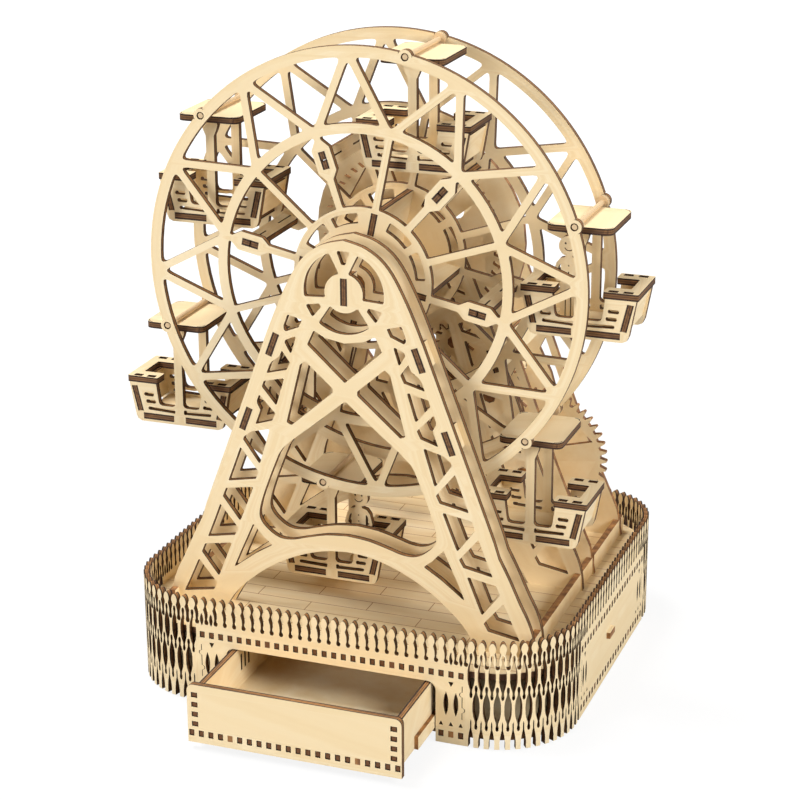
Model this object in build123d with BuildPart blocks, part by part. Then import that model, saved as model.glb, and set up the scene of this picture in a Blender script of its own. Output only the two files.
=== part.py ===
"""Crank-driven ferris wheel, cut from 3 mm plywood and slotted together.

Millimetres. X runs along the front of the box, Y to the back, Z up, and z = 0 is the table.
Depths are counted from the front face of the front rim, then moved by `depth_centre`
so that the middle of the footprint stands at the origin.
"""
import os
from math import acos, atan2, copysign, cos, degrees, hypot, pi, radians, sin, tan

from build123d import *

os.makedirs("parts", exist_ok=True)

# ---------------------------------------------------------------- driving dimensions
ply = 3.0
running_gap = 0.1

# box that everything stands on
box_width = 207.0
box_depth = 191.0
box_front = -45.0
box_radius = 36.0
wall_height = 50.8
picket_pitch = 4.547
picket_gap = 2.2
picket_root = 38.5
corner_flats = 6
front_pickets = 28
side_pickets = 24
pickets_per_gap = 2
deck_under = 32.0
bottom_plate_under = 3.0
tab_step = 6.5
low_tab_step = 12.5
tab_width = 2.4

# wheel
hub_height = 193.5
pivot_radius = 100.0
cabins = 6
first_pivot_angle = 78.4
rim_radius = 101.5
rim_band = 4.8
middle_ring_outer = 68.3
middle_ring_band = 4.3
spoke_width = 3.4
hub_radius = 32.0
rim_spacing = 44.8
crossbar_radius = 53.8
crossbar_width = 7.6
axle_radius = 5.0
pin_radius = 1.6
lobe_radius = 3.2

# towers
tower_front_depth = -21.8
tower_pair_spacing = 12.3
back_tower_depth = 54.3
gear_plate_depth = 74.0
outer_plate_depth = 123.0
tower_top = 216.3
rail_lean = 0.3766
rail_width = 6.6
bar_width = 4.0
lowest_bar = 43.0
bay_heights = (28.7, 28.7, 28.7, 24.5, 20.1)
sill_outer = 86.6
sill_height = 8.5

# gear train, from the crank to the wheel
gear_module = 1.4
backlash = 0.5
wheel_teeth = 60
first_pinion_teeth = 12
first_gear_teeth = 24
second_pinion_teeth = 22
second_gear_teeth = 12
crank_teeth = 46
train_lean = 24.76
wheel_gear_depth = 61.0
first_gear_depth = 82.0
crank_gear_depth = 100.0
crank_arm_length = 32.0
crank_arm_width = 13.0
crank_arm_depth = 149.0
knob_length = 26.0
knob_radius = 4.6

# cabins, measured down from their pivots
roof_width = 29.0
roof_depth = 34.0
roof_corner = 2.6
tub_drop = 32.5
tub_bottom = 51.3
tub_half_width = 25.2
cabin_side_inset = 9.0

# drawer
drawer_half_width = 49.5
drawer_out = 41.9
drawer_length = 87.0
drawer_top = 31.0

# ---------------------------------------------------------------- derived positions
deck_top = deck_under + ply
box_back = box_front + box_depth
rim_front_depth = 0.0
rim_back_depth = rim_spacing
wheel_middle = (rim_spacing + ply) / 2
tower_inner_depth = tower_front_depth + tower_pair_spacing
drawer_face = box_front - drawer_out
knob_end = crank_arm_depth + ply + knob_length
depth_centre = (drawer_face + knob_end) / 2
pivot_step = 360 / cabins
bay = pivot_step / 2
stick_sides = 8
axle_sides = 12
rim_sides = 36
lobe_sides = 6
stick_flat = pin_radius * cos(pi / stick_sides)


def pitch_radius(teeth):
    return gear_module * teeth / 2


first_shaft_distance = pitch_radius(wheel_teeth) + pitch_radius(first_pinion_teeth)
second_shaft_distance = (
    first_shaft_distance + pitch_radius(first_gear_teeth) + pitch_radius(second_pinion_teeth)
)
crank_distance = (
    second_shaft_distance + pitch_radius(second_gear_teeth) + pitch_radius(crank_teeth)
)


def along_train(distance):
    """Point at a distance from the wheel axle on the line that carries the gear shafts."""
    lean = radians(train_lean)
    return distance * sin(lean), hub_height - distance * cos(lean)


first_shaft = along_train(first_shaft_distance)
second_shaft = along_train(second_shaft_distance)
crank_shaft_place = along_train(crank_distance)
pivots = []
for number in range(cabins):
    turn = radians(first_pivot_angle - number * pivot_step)
    pivots.append((pivot_radius * cos(turn), hub_height + pivot_radius * sin(turn)))


# ---------------------------------------------------------------- planes and small helpers
def facing(depth, x=0.0, z=0.0):
    """Plane that looks to the front; its y is up, and a negative extrusion goes to the back."""
    return Plane(origin=(x, depth - depth_centre, z), x_dir=(1, 0, 0), z_dir=(0, -1, 0))


def level(z):
    """Plane that looks up; its y is depth."""
    return Plane(origin=(0, -depth_centre, z))


def outline(points, mode=Mode.ADD):
    """Straight-sided closed face in the sketch that is open."""
    with BuildLine() as edge:
        Polyline(*points, close=True)
    make_face(edge.edges(), mode=mode)


def mirrored_window(points):
    """Cut a window and its mirror image out of the open sketch."""
    outline(points, Mode.SUBTRACT)
    outline([(-x, z) for x, z in points], Mode.SUBTRACT)


def symmetric_window(half):
    """Cut one window given by its right half, from the middle at the top to the bottom."""
    right = [(point.X, point.Y) for point in map(Vector, half)]
    left = [(-x, z) for x, z in reversed(right[1:-1])]
    outline(right + left, Mode.SUBTRACT)


def box_between(low, high):
    """Solid block between two corners given as x, depth, z."""
    size = [b - a for a, b in zip(low, high)]
    middle = [(a + b) / 2 for a, b in zip(low, high)]
    with Locations((middle[0], middle[1] - depth_centre, middle[2])):
        Box(*size)


def both_sides(places):
    """The same places on the left and on the right."""
    return [-place for place in reversed(places)] + list(places)


def keep(part, label):
    part.label = label
    export_step(part, f"parts/{label}.step")


# ---------------------------------------------------------------- box: walls
def footprint(inset):
    """Corners of the box outline, drawn in by `inset`; each round corner is a row of flats."""
    points = []
    for quadrant in range(4):
        centre_x, centre_y = corner_centre(quadrant)
        for flat in range(corner_flats + 1):
            turn = radians(quadrant * 90 + flat * 90 / corner_flats)
            reach = box_radius - inset
            points.append((centre_x + reach * cos(turn), centre_y + reach * sin(turn)))
    return points


def corner_centre(quadrant):
    """Middle of the bend of one corner, counted from the back right."""
    side = 1 if quadrant in (0, 3) else -1
    end = 1 if quadrant < 2 else -1
    return side * (box_width / 2 - box_radius), box_middle + end * (box_depth / 2 - box_radius)


def wall_ring():
    """Footprint of the whole wall, drawn on the level plane that is open."""
    outline(footprint(0))
    outline(footprint(ply), Mode.SUBTRACT)


box_middle = (box_front + box_back) / 2
front_seam = front_pickets * picket_pitch / 2
side_seam = side_pickets * picket_pitch / 2
front_tabs = both_sides([tab_step * picket_pitch])
side_tabs = [box_middle + place for place in front_tabs]
low_tabs = both_sides([low_tab_step * picket_pitch])
opening_half_width = drawer_half_width + 0.3
opening_top = 28.7
rib_depth = 39.5
rib_under = 19.8
rib_width = 14.0
rib_tab_width = 8.5
rib_proud = 1.7


def cross_cut(places, width, low, high, along_x):
    """Cut the same upright slot through a wall at every place."""
    middle = (low + high) / 2
    if along_x:
        with Locations(*[(place, box_middle - depth_centre, middle) for place in places]):
            Box(width, box_depth + ply, high - low, mode=Mode.SUBTRACT)
    else:
        with Locations(*[(0, place - depth_centre, middle) for place in places]):
            Box(box_width + ply, width, high - low, mode=Mode.SUBTRACT)


with BuildPart() as gap_wedge:
    with BuildSketch(Plane.YZ.offset(-ply)):
        outline(
            [(0, 0), (picket_gap / 2, wall_height - picket_root),
             (picket_gap / 2, wall_height - picket_root + 1),
             (-picket_gap / 2, wall_height - picket_root + 1),
             (-picket_gap / 2, wall_height - picket_root)]
        )
    extrude(amount=2 * ply)


def picket_gaps(places):
    """Cut the tapering gaps between the pickets; each place gives x, depth and heading."""
    spots = [
        Location((x, depth - depth_centre, picket_root), (0, 0, heading))
        for x, depth, heading in places
    ]
    with Locations(*spots):
        add(gap_wedge.part, mode=Mode.SUBTRACT)


def straight_wall(label, centre_x, centre_y, half_x, half_y, along_x):
    """One flat wall: picket fence on top, holes for the tabs of the deck and the bottom."""
    count = front_pickets if along_x else side_pickets
    middle = 0 if along_x else box_middle
    half_count = count // 2
    steps = [
        middle + index * picket_pitch
        for index in range(pickets_per_gap - half_count, half_count, pickets_per_gap)
    ]
    if along_x:
        gaps = [(step, centre_y - copysign(ply / 2, centre_y), 90) for step in steps]
    else:
        gaps = [(centre_x - copysign(ply / 2, centre_x), step, 0) for step in steps]
    with BuildPart() as wall:
        with BuildSketch(level(0)):
            wall_ring()
            with Locations((centre_x, centre_y)):
                Rectangle(2 * half_x, 2 * half_y, mode=Mode.INTERSECT)
        extrude(amount=wall_height)
        picket_gaps(gaps)
        cross_cut(front_tabs if along_x else side_tabs, tab_width, deck_under, deck_top, along_x)
        if centre_y == box_front:
            with Locations((0, box_front - depth_centre, opening_top / 2 - 2)):
                Box(2 * opening_half_width, 4 * ply, opening_top + 4, mode=Mode.SUBTRACT)
            fillet(
                wall.edges().filter_by(Axis.Y).group_by(Axis.Z)[1], radius=box_radius / 9
            )
        low_places = low_tabs if along_x else side_tabs
        bottom_top = bottom_plate_under + ply
        cross_cut(low_places, tab_width, bottom_plate_under, bottom_top, along_x)
        if not along_x:
            rib_place = rib_depth + rib_tab_width / 2
            cross_cut([rib_place], rib_tab_width, rib_under, rib_under + ply, along_x)
    keep(wall.part, label)


straight_wall("wall_front", 0, box_front, front_seam, ply, True)
straight_wall("wall_back", 0, box_back, front_seam, ply, True)
straight_wall("wall_left", -box_width / 2, box_middle, ply, side_seam, False)
straight_wall("wall_right", box_width / 2, box_middle, ply, side_seam, False)

corner_cuts = []
for quadrant in range(4):
    centre_x, centre_y = corner_centre(quadrant)
    for flat in range(corner_flats):
        heading = quadrant * 90 + (flat + 0.5) * 90 / corner_flats
        reach = box_radius - ply / 2
        turn = radians(heading)
        corner_cuts.append((centre_x + reach * cos(turn), centre_y + reach * sin(turn), heading))

with BuildPart() as corner_strips:
    with BuildSketch(level(0)):
        wall_ring()
        with Locations((0, box_middle)):
            Rectangle(2 * front_seam, box_depth, mode=Mode.SUBTRACT)
            Rectangle(box_width, 2 * side_seam, mode=Mode.SUBTRACT)
    extrude(amount=wall_height)
    picket_gaps(corner_cuts)
keep(corner_strips.part, "corner_strips")


# ---------------------------------------------------------------- box: plates inside the walls
def inside_plate(label, under, tabs_front, tabs_side):
    """Horizontal plate that fills the box and reaches through the walls with its tabs."""
    with BuildPart() as plate:
        with BuildSketch(level(under)):
            outline(footprint(ply))
            with Locations(*[(0, place) for place in tabs_side]):
                Rectangle(box_width, tab_width)
            with Locations(*[(place, box_middle) for place in tabs_front]):
                Rectangle(tab_width, box_depth)
        extrude(amount=ply)
    keep(plate.part, label)


inside_plate("deck", deck_under, front_tabs, side_tabs)
inside_plate("bottom_plate", bottom_plate_under, low_tabs, side_tabs)

with BuildPart() as cross_rib:
    inner_half = box_width / 2 - ply
    tab_end = box_width / 2 + rib_proud
    box_between(
        (-inner_half, rib_depth, rib_under), (inner_half, rib_depth + rib_width, rib_under + ply)
    )
    box_between(
        (-tab_end, rib_depth, rib_under), (tab_end, rib_depth + rib_tab_width, rib_under + ply)
    )
keep(cross_rib.part, "cross_rib")

# ---------------------------------------------------------------- sills that hold the tower feet
tower_depths = (
    tower_front_depth,
    tower_inner_depth,
    back_tower_depth,
    gear_plate_depth,
    outer_plate_depth,
)
sill_top = deck_top + sill_height
half_lap = deck_top + sill_height / 2
sill_front = tower_front_depth - 4
sill_back = outer_plate_depth + ply + 4


def sill(label, side):
    near = side * (sill_outer - ply)
    far = side * sill_outer
    with BuildPart() as beam:
        box_between(
            (min(near, far), sill_front, deck_top), (max(near, far), sill_back, sill_top)
        )
        for depth in tower_depths:
            with Locations((side * sill_outer, depth + ply / 2 - depth_centre, sill_top)):
                Box(4 * ply, ply, sill_height, mode=Mode.SUBTRACT)
    keep(beam.part, label)


sill("sill_left", -1)
sill("sill_right", 1)


# ---------------------------------------------------------------- towers: outline and truss
shoulder = (36.0, 172.5)
flare_start_height = 87.5
arch_top = 73.2
foot_half_width = sill_outer + 0.8
rail_direction = (rail_lean / hypot(rail_lean, 1), -1 / hypot(rail_lean, 1))


def rail_edge(z):
    """Half width of the tower on its straight outer edge."""
    return shoulder[0] + (shoulder[1] - z) * rail_lean


def outer_rail(z):
    """Inner edge of the outer rail; below the flare it follows the foot outwards."""
    flare = max(0.0, flare_start_height - z)
    return rail_edge(z) - rail_width + flare * flare * 0.0011


def inner_rail(z):
    """Outer edge of the inner rail, which bends where the legs spread."""
    knee = 98.0
    if z > knee:
        return 44.7 - (z - knee) * 0.304
    return 44.7 + (knee - z) * 0.40


def short_cuts(curve, count):
    """Points along a curve whose edge is cut in short straight steps."""
    return [curve @ (index / count) for index in range(count + 1)]


flare_top = (rail_edge(flare_start_height), flare_start_height)
head_curve = Spline((0, tower_top), (20, 205.5), shoulder, tangents=[(1, 0), rail_direction])
foot_curve = Spline(
    flare_top, (80.6, 59.0), (foot_half_width, deck_top), tangents=[rail_direction, (0, -1)]
)
bell_curve = Spline(
    (33.5, 112), (42, 88), (33, 75.6), (15, 78.9), (0, 80.8), tangents=[(0.35, -1), (-1, 0)]
)
arch_curve = Spline(
    (0, arch_top), (30, 65.0), (50, 50.5), (61, deck_top), tangents=[(1, 0), (0.55, -1)]
)


def tower_outline():
    """Arch-topped A with flared feet, drawn in the sketch that is open."""
    outline(short_cuts(head_curve, 6) + short_cuts(foot_curve, 4) + [(0, deck_top)])
    mirror(about=Plane.YZ)


def truss_windows(sides=(-1, 1)):
    """Triangle and slot in every bay between the two rails of a leg."""
    low = lowest_bar
    half_bar = bar_width / 2
    for index, height in enumerate(bay_heights + (15.0,)):
        high = low + height
        apex = low + 0.66 * height - 2.6
        foot = low + half_bar
        triangle = [
            (inner_rail(foot), foot),
            (outer_rail(apex), apex),
            (outer_rail(low - 0.6), low - 0.6),
        ]
        slot = [
            (inner_rail(high - half_bar), high - half_bar),
            (outer_rail(high - 4.4), high - 4.4),
            (outer_rail(apex + 3.8), apex + 3.8),
            (inner_rail(low + 9.2), low + 9.2),
        ]
        windows = [triangle, slot] if index < len(bay_heights) else [triangle]
        for window in windows:
            for side in sides:
                outline([(side * x, z) for x, z in window], Mode.SUBTRACT)
        low = high


head_ring_inner = 18.4
hub_disc_radius = 8.8


arm_root_width = 3.6
arm_end_width = 13.0
arm_length = head_ring_inner - hub_disc_radius + 1.6

with BuildSketch() as head_ring:
    RegularPolygon(head_ring_inner, 18)
    RegularPolygon(hub_disc_radius, 12, mode=Mode.SUBTRACT)
    with PolarLocations(hub_disc_radius - 0.8 + arm_length / 2, 3, start_angle=90):
        Trapezoid(
            arm_end_width,
            arm_length,
            degrees(atan2(arm_length, (arm_end_width - arm_root_width) / 2)),
            rotation=90,
            mode=Mode.SUBTRACT,
        )


def head_windows():
    """Ring of three windows round the bearing, parted by three arms."""
    with Locations((0, hub_height - 0.5)):
        add(head_ring.sketch, mode=Mode.SUBTRACT)


crossing_height = 148.2
bell_apex = 143.8


def brace_windows():
    """Windows above, beside and below the crossed braces between the legs."""
    outline(
        [(0, 170.6), (9, 172.2), (14.2, 175), (17.3, 168.3), (0, 152.6), (-17.3, 168.3),
         (-14.2, 175), (-9, 172.2)],
        Mode.SUBTRACT,
    )
    brace_half_gap = 5.7
    mirrored_window(
        [
            (brace_half_gap, crossing_height + 1.2),
            (18.2, 160.4),
            (20.4, 159.4),
            (27.8, 131.6),
            (25.4, 130.1),
            (brace_half_gap, crossing_height - 0.8),
        ]
    )
    symmetric_window([(0, bell_apex), (30, 118.5)] + short_cuts(bell_curve, 7))
    mirrored_window([(45.2, 80.8), (55.6, 57.2), (35.5, 71.8), (40.5, 75.2)])


def foot_arch():
    """Opening between the feet."""
    symmetric_window(short_cuts(arch_curve, 5) + [(0, deck_top)])


def sill_laps(part_depth):
    """Notch the feet so that they drop over the sills."""
    for side in (-1, 1):
        with Locations(
            (side * (sill_outer - ply / 2), part_depth + ply / 2 - depth_centre, deck_top)
        ):
            Box(ply, 2 * ply, 2 * (half_lap - deck_top), mode=Mode.SUBTRACT)


clip_length = 11.0
clip_width = ply
clip_places = ((-1, 166.5), (1, 166.5), (-1, 130.5), (1, 130.5))
spacer_places = ((-1, 143.0), (1, 143.0), (-1, 100.0))
lean_angle = degrees(acos(-rail_direction[1]))
bearing_half_height = 6.0


def on_rails(places):
    """Where bars between the plates cross the middle of the outer rails, with their lean."""
    return [
        Location((side * (rail_edge(z) - rail_width / 2), z), side * lean_angle)
        for side, z in places
    ]


def clip_slots(places):
    """Cut the slots for the bars that join a plate to its neighbour."""
    with Locations(*on_rails(places)):
        Rectangle(clip_width, clip_length, mode=Mode.SUBTRACT)


def lattice_tower(label, depth, bar_places, bore):
    """A-shaped plate with lattice legs, used in front of and behind the wheel."""
    with BuildPart() as tower:
        with BuildSketch(facing(depth)):
            tower_outline()
            truss_windows()
            head_windows()
            brace_windows()
            foot_arch()
            clip_slots(bar_places)
            if bore:
                with Locations((0, hub_height)):
                    RegularPolygon(bore, axle_sides, mode=Mode.SUBTRACT)
            else:
                with Locations((0, hub_height)):
                    Rectangle(ply, 2 * bearing_half_height, mode=Mode.SUBTRACT)
        extrude(amount=-ply)
        sill_laps(depth)
    keep(tower.part, label)


def running_bore(radius, sides):
    """Corner radius of a hole whose flats clear a stick of that radius."""
    return (radius + running_gap) / cos(pi / sides)


bore_radius = running_bore(axle_radius, axle_sides)
lattice_tower("tower_front_outer", tower_front_depth, clip_places, 0)
lattice_tower("tower_front_inner", tower_inner_depth, clip_places, bore_radius)
lattice_tower("tower_back_inner", back_tower_depth, spacer_places, bore_radius)

with BuildPart() as tower_clips:
    with BuildSketch(facing(tower_front_depth)):
        with Locations(*on_rails(clip_places)):
            Rectangle(clip_width, clip_length)
    extrude(amount=-(tower_pair_spacing + ply))
keep(tower_clips.part, "tower_clips")

with BuildPart() as bearing_block:
    box_between(
        (-ply / 2, tower_front_depth, hub_height - bearing_half_height),
        (ply / 2, tower_inner_depth, hub_height + bearing_half_height),
    )
keep(bearing_block.part, "bearing_block")


# ---------------------------------------------------------------- gearbox plates behind the wheel
shaft_radius = 3.0
head_radius = 51.0


head_window = (12.0, 14.0)
head_window_radius = 23.0


def gearbox_plate(label, depth, round_head):
    """Plate that carries the gear shafts; the inner one has a large round head."""
    with BuildPart() as plate:
        with BuildSketch(facing(depth)):
            tower_outline()
            foot_arch()
            if round_head:
                with Locations((0, hub_height)):
                    RegularPolygon(head_radius, rim_sides)
                    with PolarLocations(head_window_radius, 4, start_angle=45):
                        Rectangle(*head_window, mode=Mode.SUBTRACT)
            else:
                truss_windows(sides=(-1,))
            outline([(-22, 158), (8, 146), (8, 128), (-2, 100), (-34, 100)], Mode.SUBTRACT)
            outline([(24, 92), (6, 92), (34, 78)], Mode.SUBTRACT)
            outline([(44, 128), (50, 116), (53.5, 104), (58, 104), (47, 134)], Mode.SUBTRACT)
            with Locations((0, hub_height)):
                RegularPolygon(bore_radius, axle_sides, mode=Mode.SUBTRACT)
            with Locations(first_shaft, second_shaft, crank_shaft_place):
                RegularPolygon(
                    running_bore(shaft_radius, stick_sides), stick_sides, mode=Mode.SUBTRACT
                )
            clip_slots(spacer_places)
        extrude(amount=-ply)
        sill_laps(depth)
    keep(plate.part, label)


gearbox_plate("gear_plate_inner", gear_plate_depth, True)
gearbox_plate("gear_plate_outer", outer_plate_depth, False)

with BuildPart() as gearbox_spacers:
    with BuildSketch(facing(back_tower_depth)):
        with Locations(*on_rails(spacer_places)):
            Rectangle(clip_width, clip_length)
    extrude(amount=-(outer_plate_depth + ply - back_tower_depth))
keep(gearbox_spacers.part, "gearbox_spacers")


# ---------------------------------------------------------------- wheel
def ring_polygon(radius, mode=Mode.ADD, sides=4 * cabins):
    """Ring edge with its corners on the spokes."""
    RegularPolygon(radius, sides, mode=mode, rotation=first_pivot_angle)


def spokes(inner, outer, offset_angle):
    """Straight bars between a ring and the nodes on the next ring."""
    for number in range(2 * cabins):
        start = radians(first_pivot_angle + number * bay)
        end = start + radians(offset_angle)
        a = (inner * cos(start), inner * sin(start))
        b = (outer * cos(end), outer * sin(end))
        middle = ((a[0] + b[0]) / 2, (a[1] + b[1]) / 2)
        run = b[0] - a[0]
        rise = b[1] - a[1]
        with Locations(Location(middle, degrees(atan2(rise, run)))):
            Rectangle(hypot(run, rise), spoke_width, mode=Mode.SUBTRACT)


rim_inner = rim_radius - rim_band
middle_ring_inner = middle_ring_outer - middle_ring_band
lug_half_length = crossbar_width / 2 + 7.4
lug_flat_half_length = crossbar_width / 2 + 1.2
lug_half_width = 4.3
crossbar_angles = [
    first_pivot_angle + bay + number * pivot_step for number in range(cabins)
]
spider_angles = [first_pivot_angle + number * 90 for number in range(4)]
spider_tab_inner = 20.0
spider_tab_outer = 30.0


def crossbar_slots(length, width, mode):
    for angle in crossbar_angles:
        place = (crossbar_radius * cos(radians(angle)), crossbar_radius * sin(radians(angle)))
        with Locations(Location(place, angle)):
            Rectangle(length, width, mode=mode)


def spider_slots(mode):
    middle = (spider_tab_inner + spider_tab_outer) / 2
    for angle in spider_angles:
        place = (middle * cos(radians(angle)), middle * sin(radians(angle)))
        with Locations(Location(place, angle)):
            Rectangle(spider_tab_outer - spider_tab_inner, ply, mode=mode)


with BuildSketch() as lattice:
    ring_polygon(rim_inner)
    ring_polygon(middle_ring_outer, Mode.SUBTRACT)
    spokes(middle_ring_outer - 3, rim_inner + 3, bay / 2)
    spokes(middle_ring_outer - 3, rim_inner + 3, -bay / 2)
with BuildSketch() as inner_lattice:
    ring_polygon(middle_ring_inner)
    ring_polygon(hub_radius, Mode.SUBTRACT, sides=2 * cabins)
    spokes(hub_radius - 2, middle_ring_inner + 2, 0)


with BuildSketch() as crossbar_lug:
    outline(
        [(-lug_half_length, 0), (-lug_flat_half_length, lug_half_width),
         (lug_flat_half_length, lug_half_width), (lug_half_length, 0),
         (lug_flat_half_length, -lug_half_width), (-lug_flat_half_length, -lug_half_width)]
    )


def rim(label, depth):
    """Flat rim: outer ring, zigzag, middle ring, spokes and hub cut from one sheet."""
    with BuildPart() as disc:
        with BuildSketch(facing(depth, 0, hub_height)):
            RegularPolygon(rim_radius, rim_sides, rotation=first_pivot_angle)
            with PolarLocations(pivot_radius, cabins, start_angle=first_pivot_angle):
                RegularPolygon(lobe_radius, lobe_sides)
            add(lattice.sketch, mode=Mode.SUBTRACT)
            add(inner_lattice.sketch, mode=Mode.SUBTRACT)
            with PolarLocations(
                crossbar_radius, cabins, start_angle=first_pivot_angle + bay
            ):
                add(crossbar_lug.sketch)
            crossbar_slots(crossbar_width, ply, Mode.SUBTRACT)
            spider_slots(Mode.SUBTRACT)
            with PolarLocations(pivot_radius, cabins, start_angle=first_pivot_angle):
                RegularPolygon(
                    running_bore(pin_radius, stick_sides), stick_sides, mode=Mode.SUBTRACT
                )
            RegularPolygon(axle_radius, axle_sides, rotation=180 / axle_sides, mode=Mode.SUBTRACT)
        extrude(amount=-ply)
    keep(disc.part, label)


rim("rim_front", rim_front_depth)
rim("rim_back", rim_back_depth)

with BuildPart() as crossbars:
    with BuildSketch(facing(rim_front_depth, 0, hub_height)):
        crossbar_slots(crossbar_width, ply, Mode.ADD)
    extrude(amount=-(rim_spacing + ply))
keep(crossbars.part, "crossbars")

with BuildPart() as hub_spider:
    with BuildSketch(facing(rim_front_depth, 0, hub_height)):
        spider_slots(Mode.ADD)
    extrude(amount=-(rim_spacing + ply))
    with BuildSketch(facing(rim_front_depth + ply, 0, hub_height)):
        for angle in spider_angles:
            reach = (axle_radius + spider_tab_outer) / 2
            place = (reach * cos(radians(angle)), reach * sin(radians(angle)))
            with Locations(Location(place, angle)):
                Rectangle(spider_tab_outer - axle_radius, ply)
    extrude(amount=-(rim_spacing - ply))
keep(hub_spider.part, "hub_spider")


def stick(depth_start, depth_end, radius, x, z, sides=stick_sides):
    """Stick with narrow flats, one of them below, added to the part that is open."""
    with BuildSketch(facing(depth_start, x, z)) as end:
        RegularPolygon(radius, sides, rotation=180 / sides)
    extrude(end.sketch, amount=-(depth_end - depth_start))


with BuildPart() as wheel_axle:
    stick(
        tower_inner_depth + 3 * running_gap,
        gear_plate_depth + ply,
        axle_radius,
        0,
        hub_height,
        axle_sides,
    )
keep(wheel_axle.part, "wheel_axle")


# ---------------------------------------------------------------- gears
pressure_angle = 20.0
addendum = 0.9 * gear_module
dedendum = 1.2 * gear_module


def involute(angle):
    return tan(angle) - angle


def flank_angle(teeth, radius):
    """Half the angle a tooth takes up at a radius."""
    pitch = pitch_radius(teeth)
    base = pitch * cos(radians(pressure_angle))
    at_pitch = pi / (2 * teeth) - backlash / (4 * pitch)
    rolled = involute(radians(pressure_angle))
    if radius > base:
        return at_pitch + rolled - involute(acos(base / radius))
    return at_pitch + rolled


def gear_profile(teeth, phase):
    """Toothed outline; `phase` turns the middle of the first tooth to that angle."""
    pitch = pitch_radius(teeth)
    radii = (pitch - dedendum, pitch + addendum)
    points = []
    for tooth in range(teeth):
        middle = radians(phase) + tooth * 2 * pi / teeth
        rising = [(radius, middle - flank_angle(teeth, radius)) for radius in radii]
        falling = [(radius, middle + flank_angle(teeth, radius)) for radius in reversed(radii)]
        for radius, angle in rising + falling:
            points.append((radius * cos(angle), radius * sin(angle)))
    outline(points)


train_heading = -90 + train_lean


def meshing_phase(teeth, toward):
    """Turn that puts a gap of the gear on the heading where its partner has a tooth."""
    return toward + 180 / teeth


spoke_share = 7.0


def gear(label, teeth, depth, place, phase, bore, bore_sides=stick_sides, windows=0):
    """Plywood gear on its shaft, lightened by windows when it is large."""
    with BuildPart() as wheel:
        with BuildSketch(facing(depth, *place)):
            gear_profile(teeth, phase)
            RegularPolygon(bore, bore_sides, rotation=180 / bore_sides, mode=Mode.SUBTRACT)
            if windows:
                hub = bore + 5.5
                band = pitch_radius(teeth) - dedendum - 5
                narrow = 2 * pi * hub / windows - spoke_share
                wide = 2 * pi * band / windows - spoke_share
                side_angle = degrees(atan2(band - hub, (wide - narrow) / 2))
                with PolarLocations((hub + band) / 2, windows, start_angle=phase):
                    Trapezoid(
                        wide, band - hub, side_angle, rotation=90, mode=Mode.SUBTRACT
                    )
        extrude(amount=-ply)
    keep(wheel.part, label)


gear("wheel_gear", wheel_teeth, wheel_gear_depth, (0, hub_height),
     train_heading, axle_radius, axle_sides, windows=5)
gear("first_pinion", first_pinion_teeth, wheel_gear_depth, first_shaft,
     meshing_phase(first_pinion_teeth, train_heading + 180), shaft_radius)
gear("first_gear", first_gear_teeth, first_gear_depth, first_shaft,
     train_heading, shaft_radius)
gear("second_pinion", second_pinion_teeth, first_gear_depth, second_shaft,
     meshing_phase(second_pinion_teeth, train_heading + 180), shaft_radius)
gear("second_gear", second_gear_teeth, crank_gear_depth, second_shaft,
     train_heading, shaft_radius)
gear("crank_gear", crank_teeth, crank_gear_depth, crank_shaft_place,
     meshing_phase(crank_teeth, train_heading + 180), shaft_radius, windows=5)


def shaft(label, start, end, place):
    with BuildPart() as rod:
        stick(start, end, shaft_radius, *place)
    keep(rod.part, label)


shaft("first_shaft", wheel_gear_depth, outer_plate_depth + ply, first_shaft)
shaft("second_shaft", gear_plate_depth, outer_plate_depth + ply, second_shaft)
shaft("crank_shaft", gear_plate_depth, crank_arm_depth + ply, crank_shaft_place)

# ---------------------------------------------------------------- crank
crank_x, crank_z = crank_shaft_place
with BuildPart() as crank_arm:
    with BuildSketch(facing(crank_arm_depth, crank_x, crank_z)):
        with Locations((-crank_arm_length / 2, 0)):
            Rectangle(crank_arm_length, crank_arm_width)
        with Locations((0, 0), (-crank_arm_length, 0)):
            RegularPolygon(
                crank_arm_width / 2, axle_sides, major_radius=False, rotation=180 / axle_sides
            )
        with Locations((0, 0), (-crank_arm_length, 0)):
            RegularPolygon(
                shaft_radius, stick_sides, rotation=180 / stick_sides, mode=Mode.SUBTRACT
            )
    extrude(amount=-ply)
keep(crank_arm.part, "crank_arm")

knob_x = crank_x - crank_arm_length
with BuildPart() as crank_knob:
    stick(crank_arm_depth, crank_arm_depth + ply, shaft_radius, knob_x, crank_z)
    stick(crank_arm_depth + ply, knob_end, knob_radius, knob_x, crank_z, axle_sides)
keep(crank_knob.part, "crank_knob")

# ---------------------------------------------------------------- cabins
roof_top = -stick_flat
roof_under = roof_top - ply
side_front = cabin_side_inset
side_back = rim_spacing + ply - cabin_side_inset - ply
floor_under = -tub_bottom + 1.2
floor_top = floor_under + ply
floor_half_width = 18.5
post_half_width = 1.95
post_head_half_width = 3.4
notch_bottom = -42.6
notch_top_outer = 11.4
notch_low_outer = 10.4
end_top = (24.2, -tub_drop - 1.8)
end_low = (21.4, -46.3)
rail_inner = 10.7
rail_outer = 26.0
rail_arm = 7.5
rail_web = 5.0
passenger_offset = 8.4


def cabin_side_outline():
    """Front or back of a cabin: post up to the roof between two notches, ears on the outside."""
    half = [
        (0, roof_under),
        (post_head_half_width, roof_under),
        (post_half_width, roof_under - 6.5),
        (post_half_width, notch_bottom),
        (notch_low_outer, notch_bottom),
        (notch_top_outer, -tub_drop),
        (tub_half_width, -tub_drop),
        (tub_half_width - 2.9, -48.4),
        (19.4, -tub_bottom),
        (0, -tub_bottom),
    ]
    outline(half)
    mirror(about=Plane.YZ)


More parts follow.
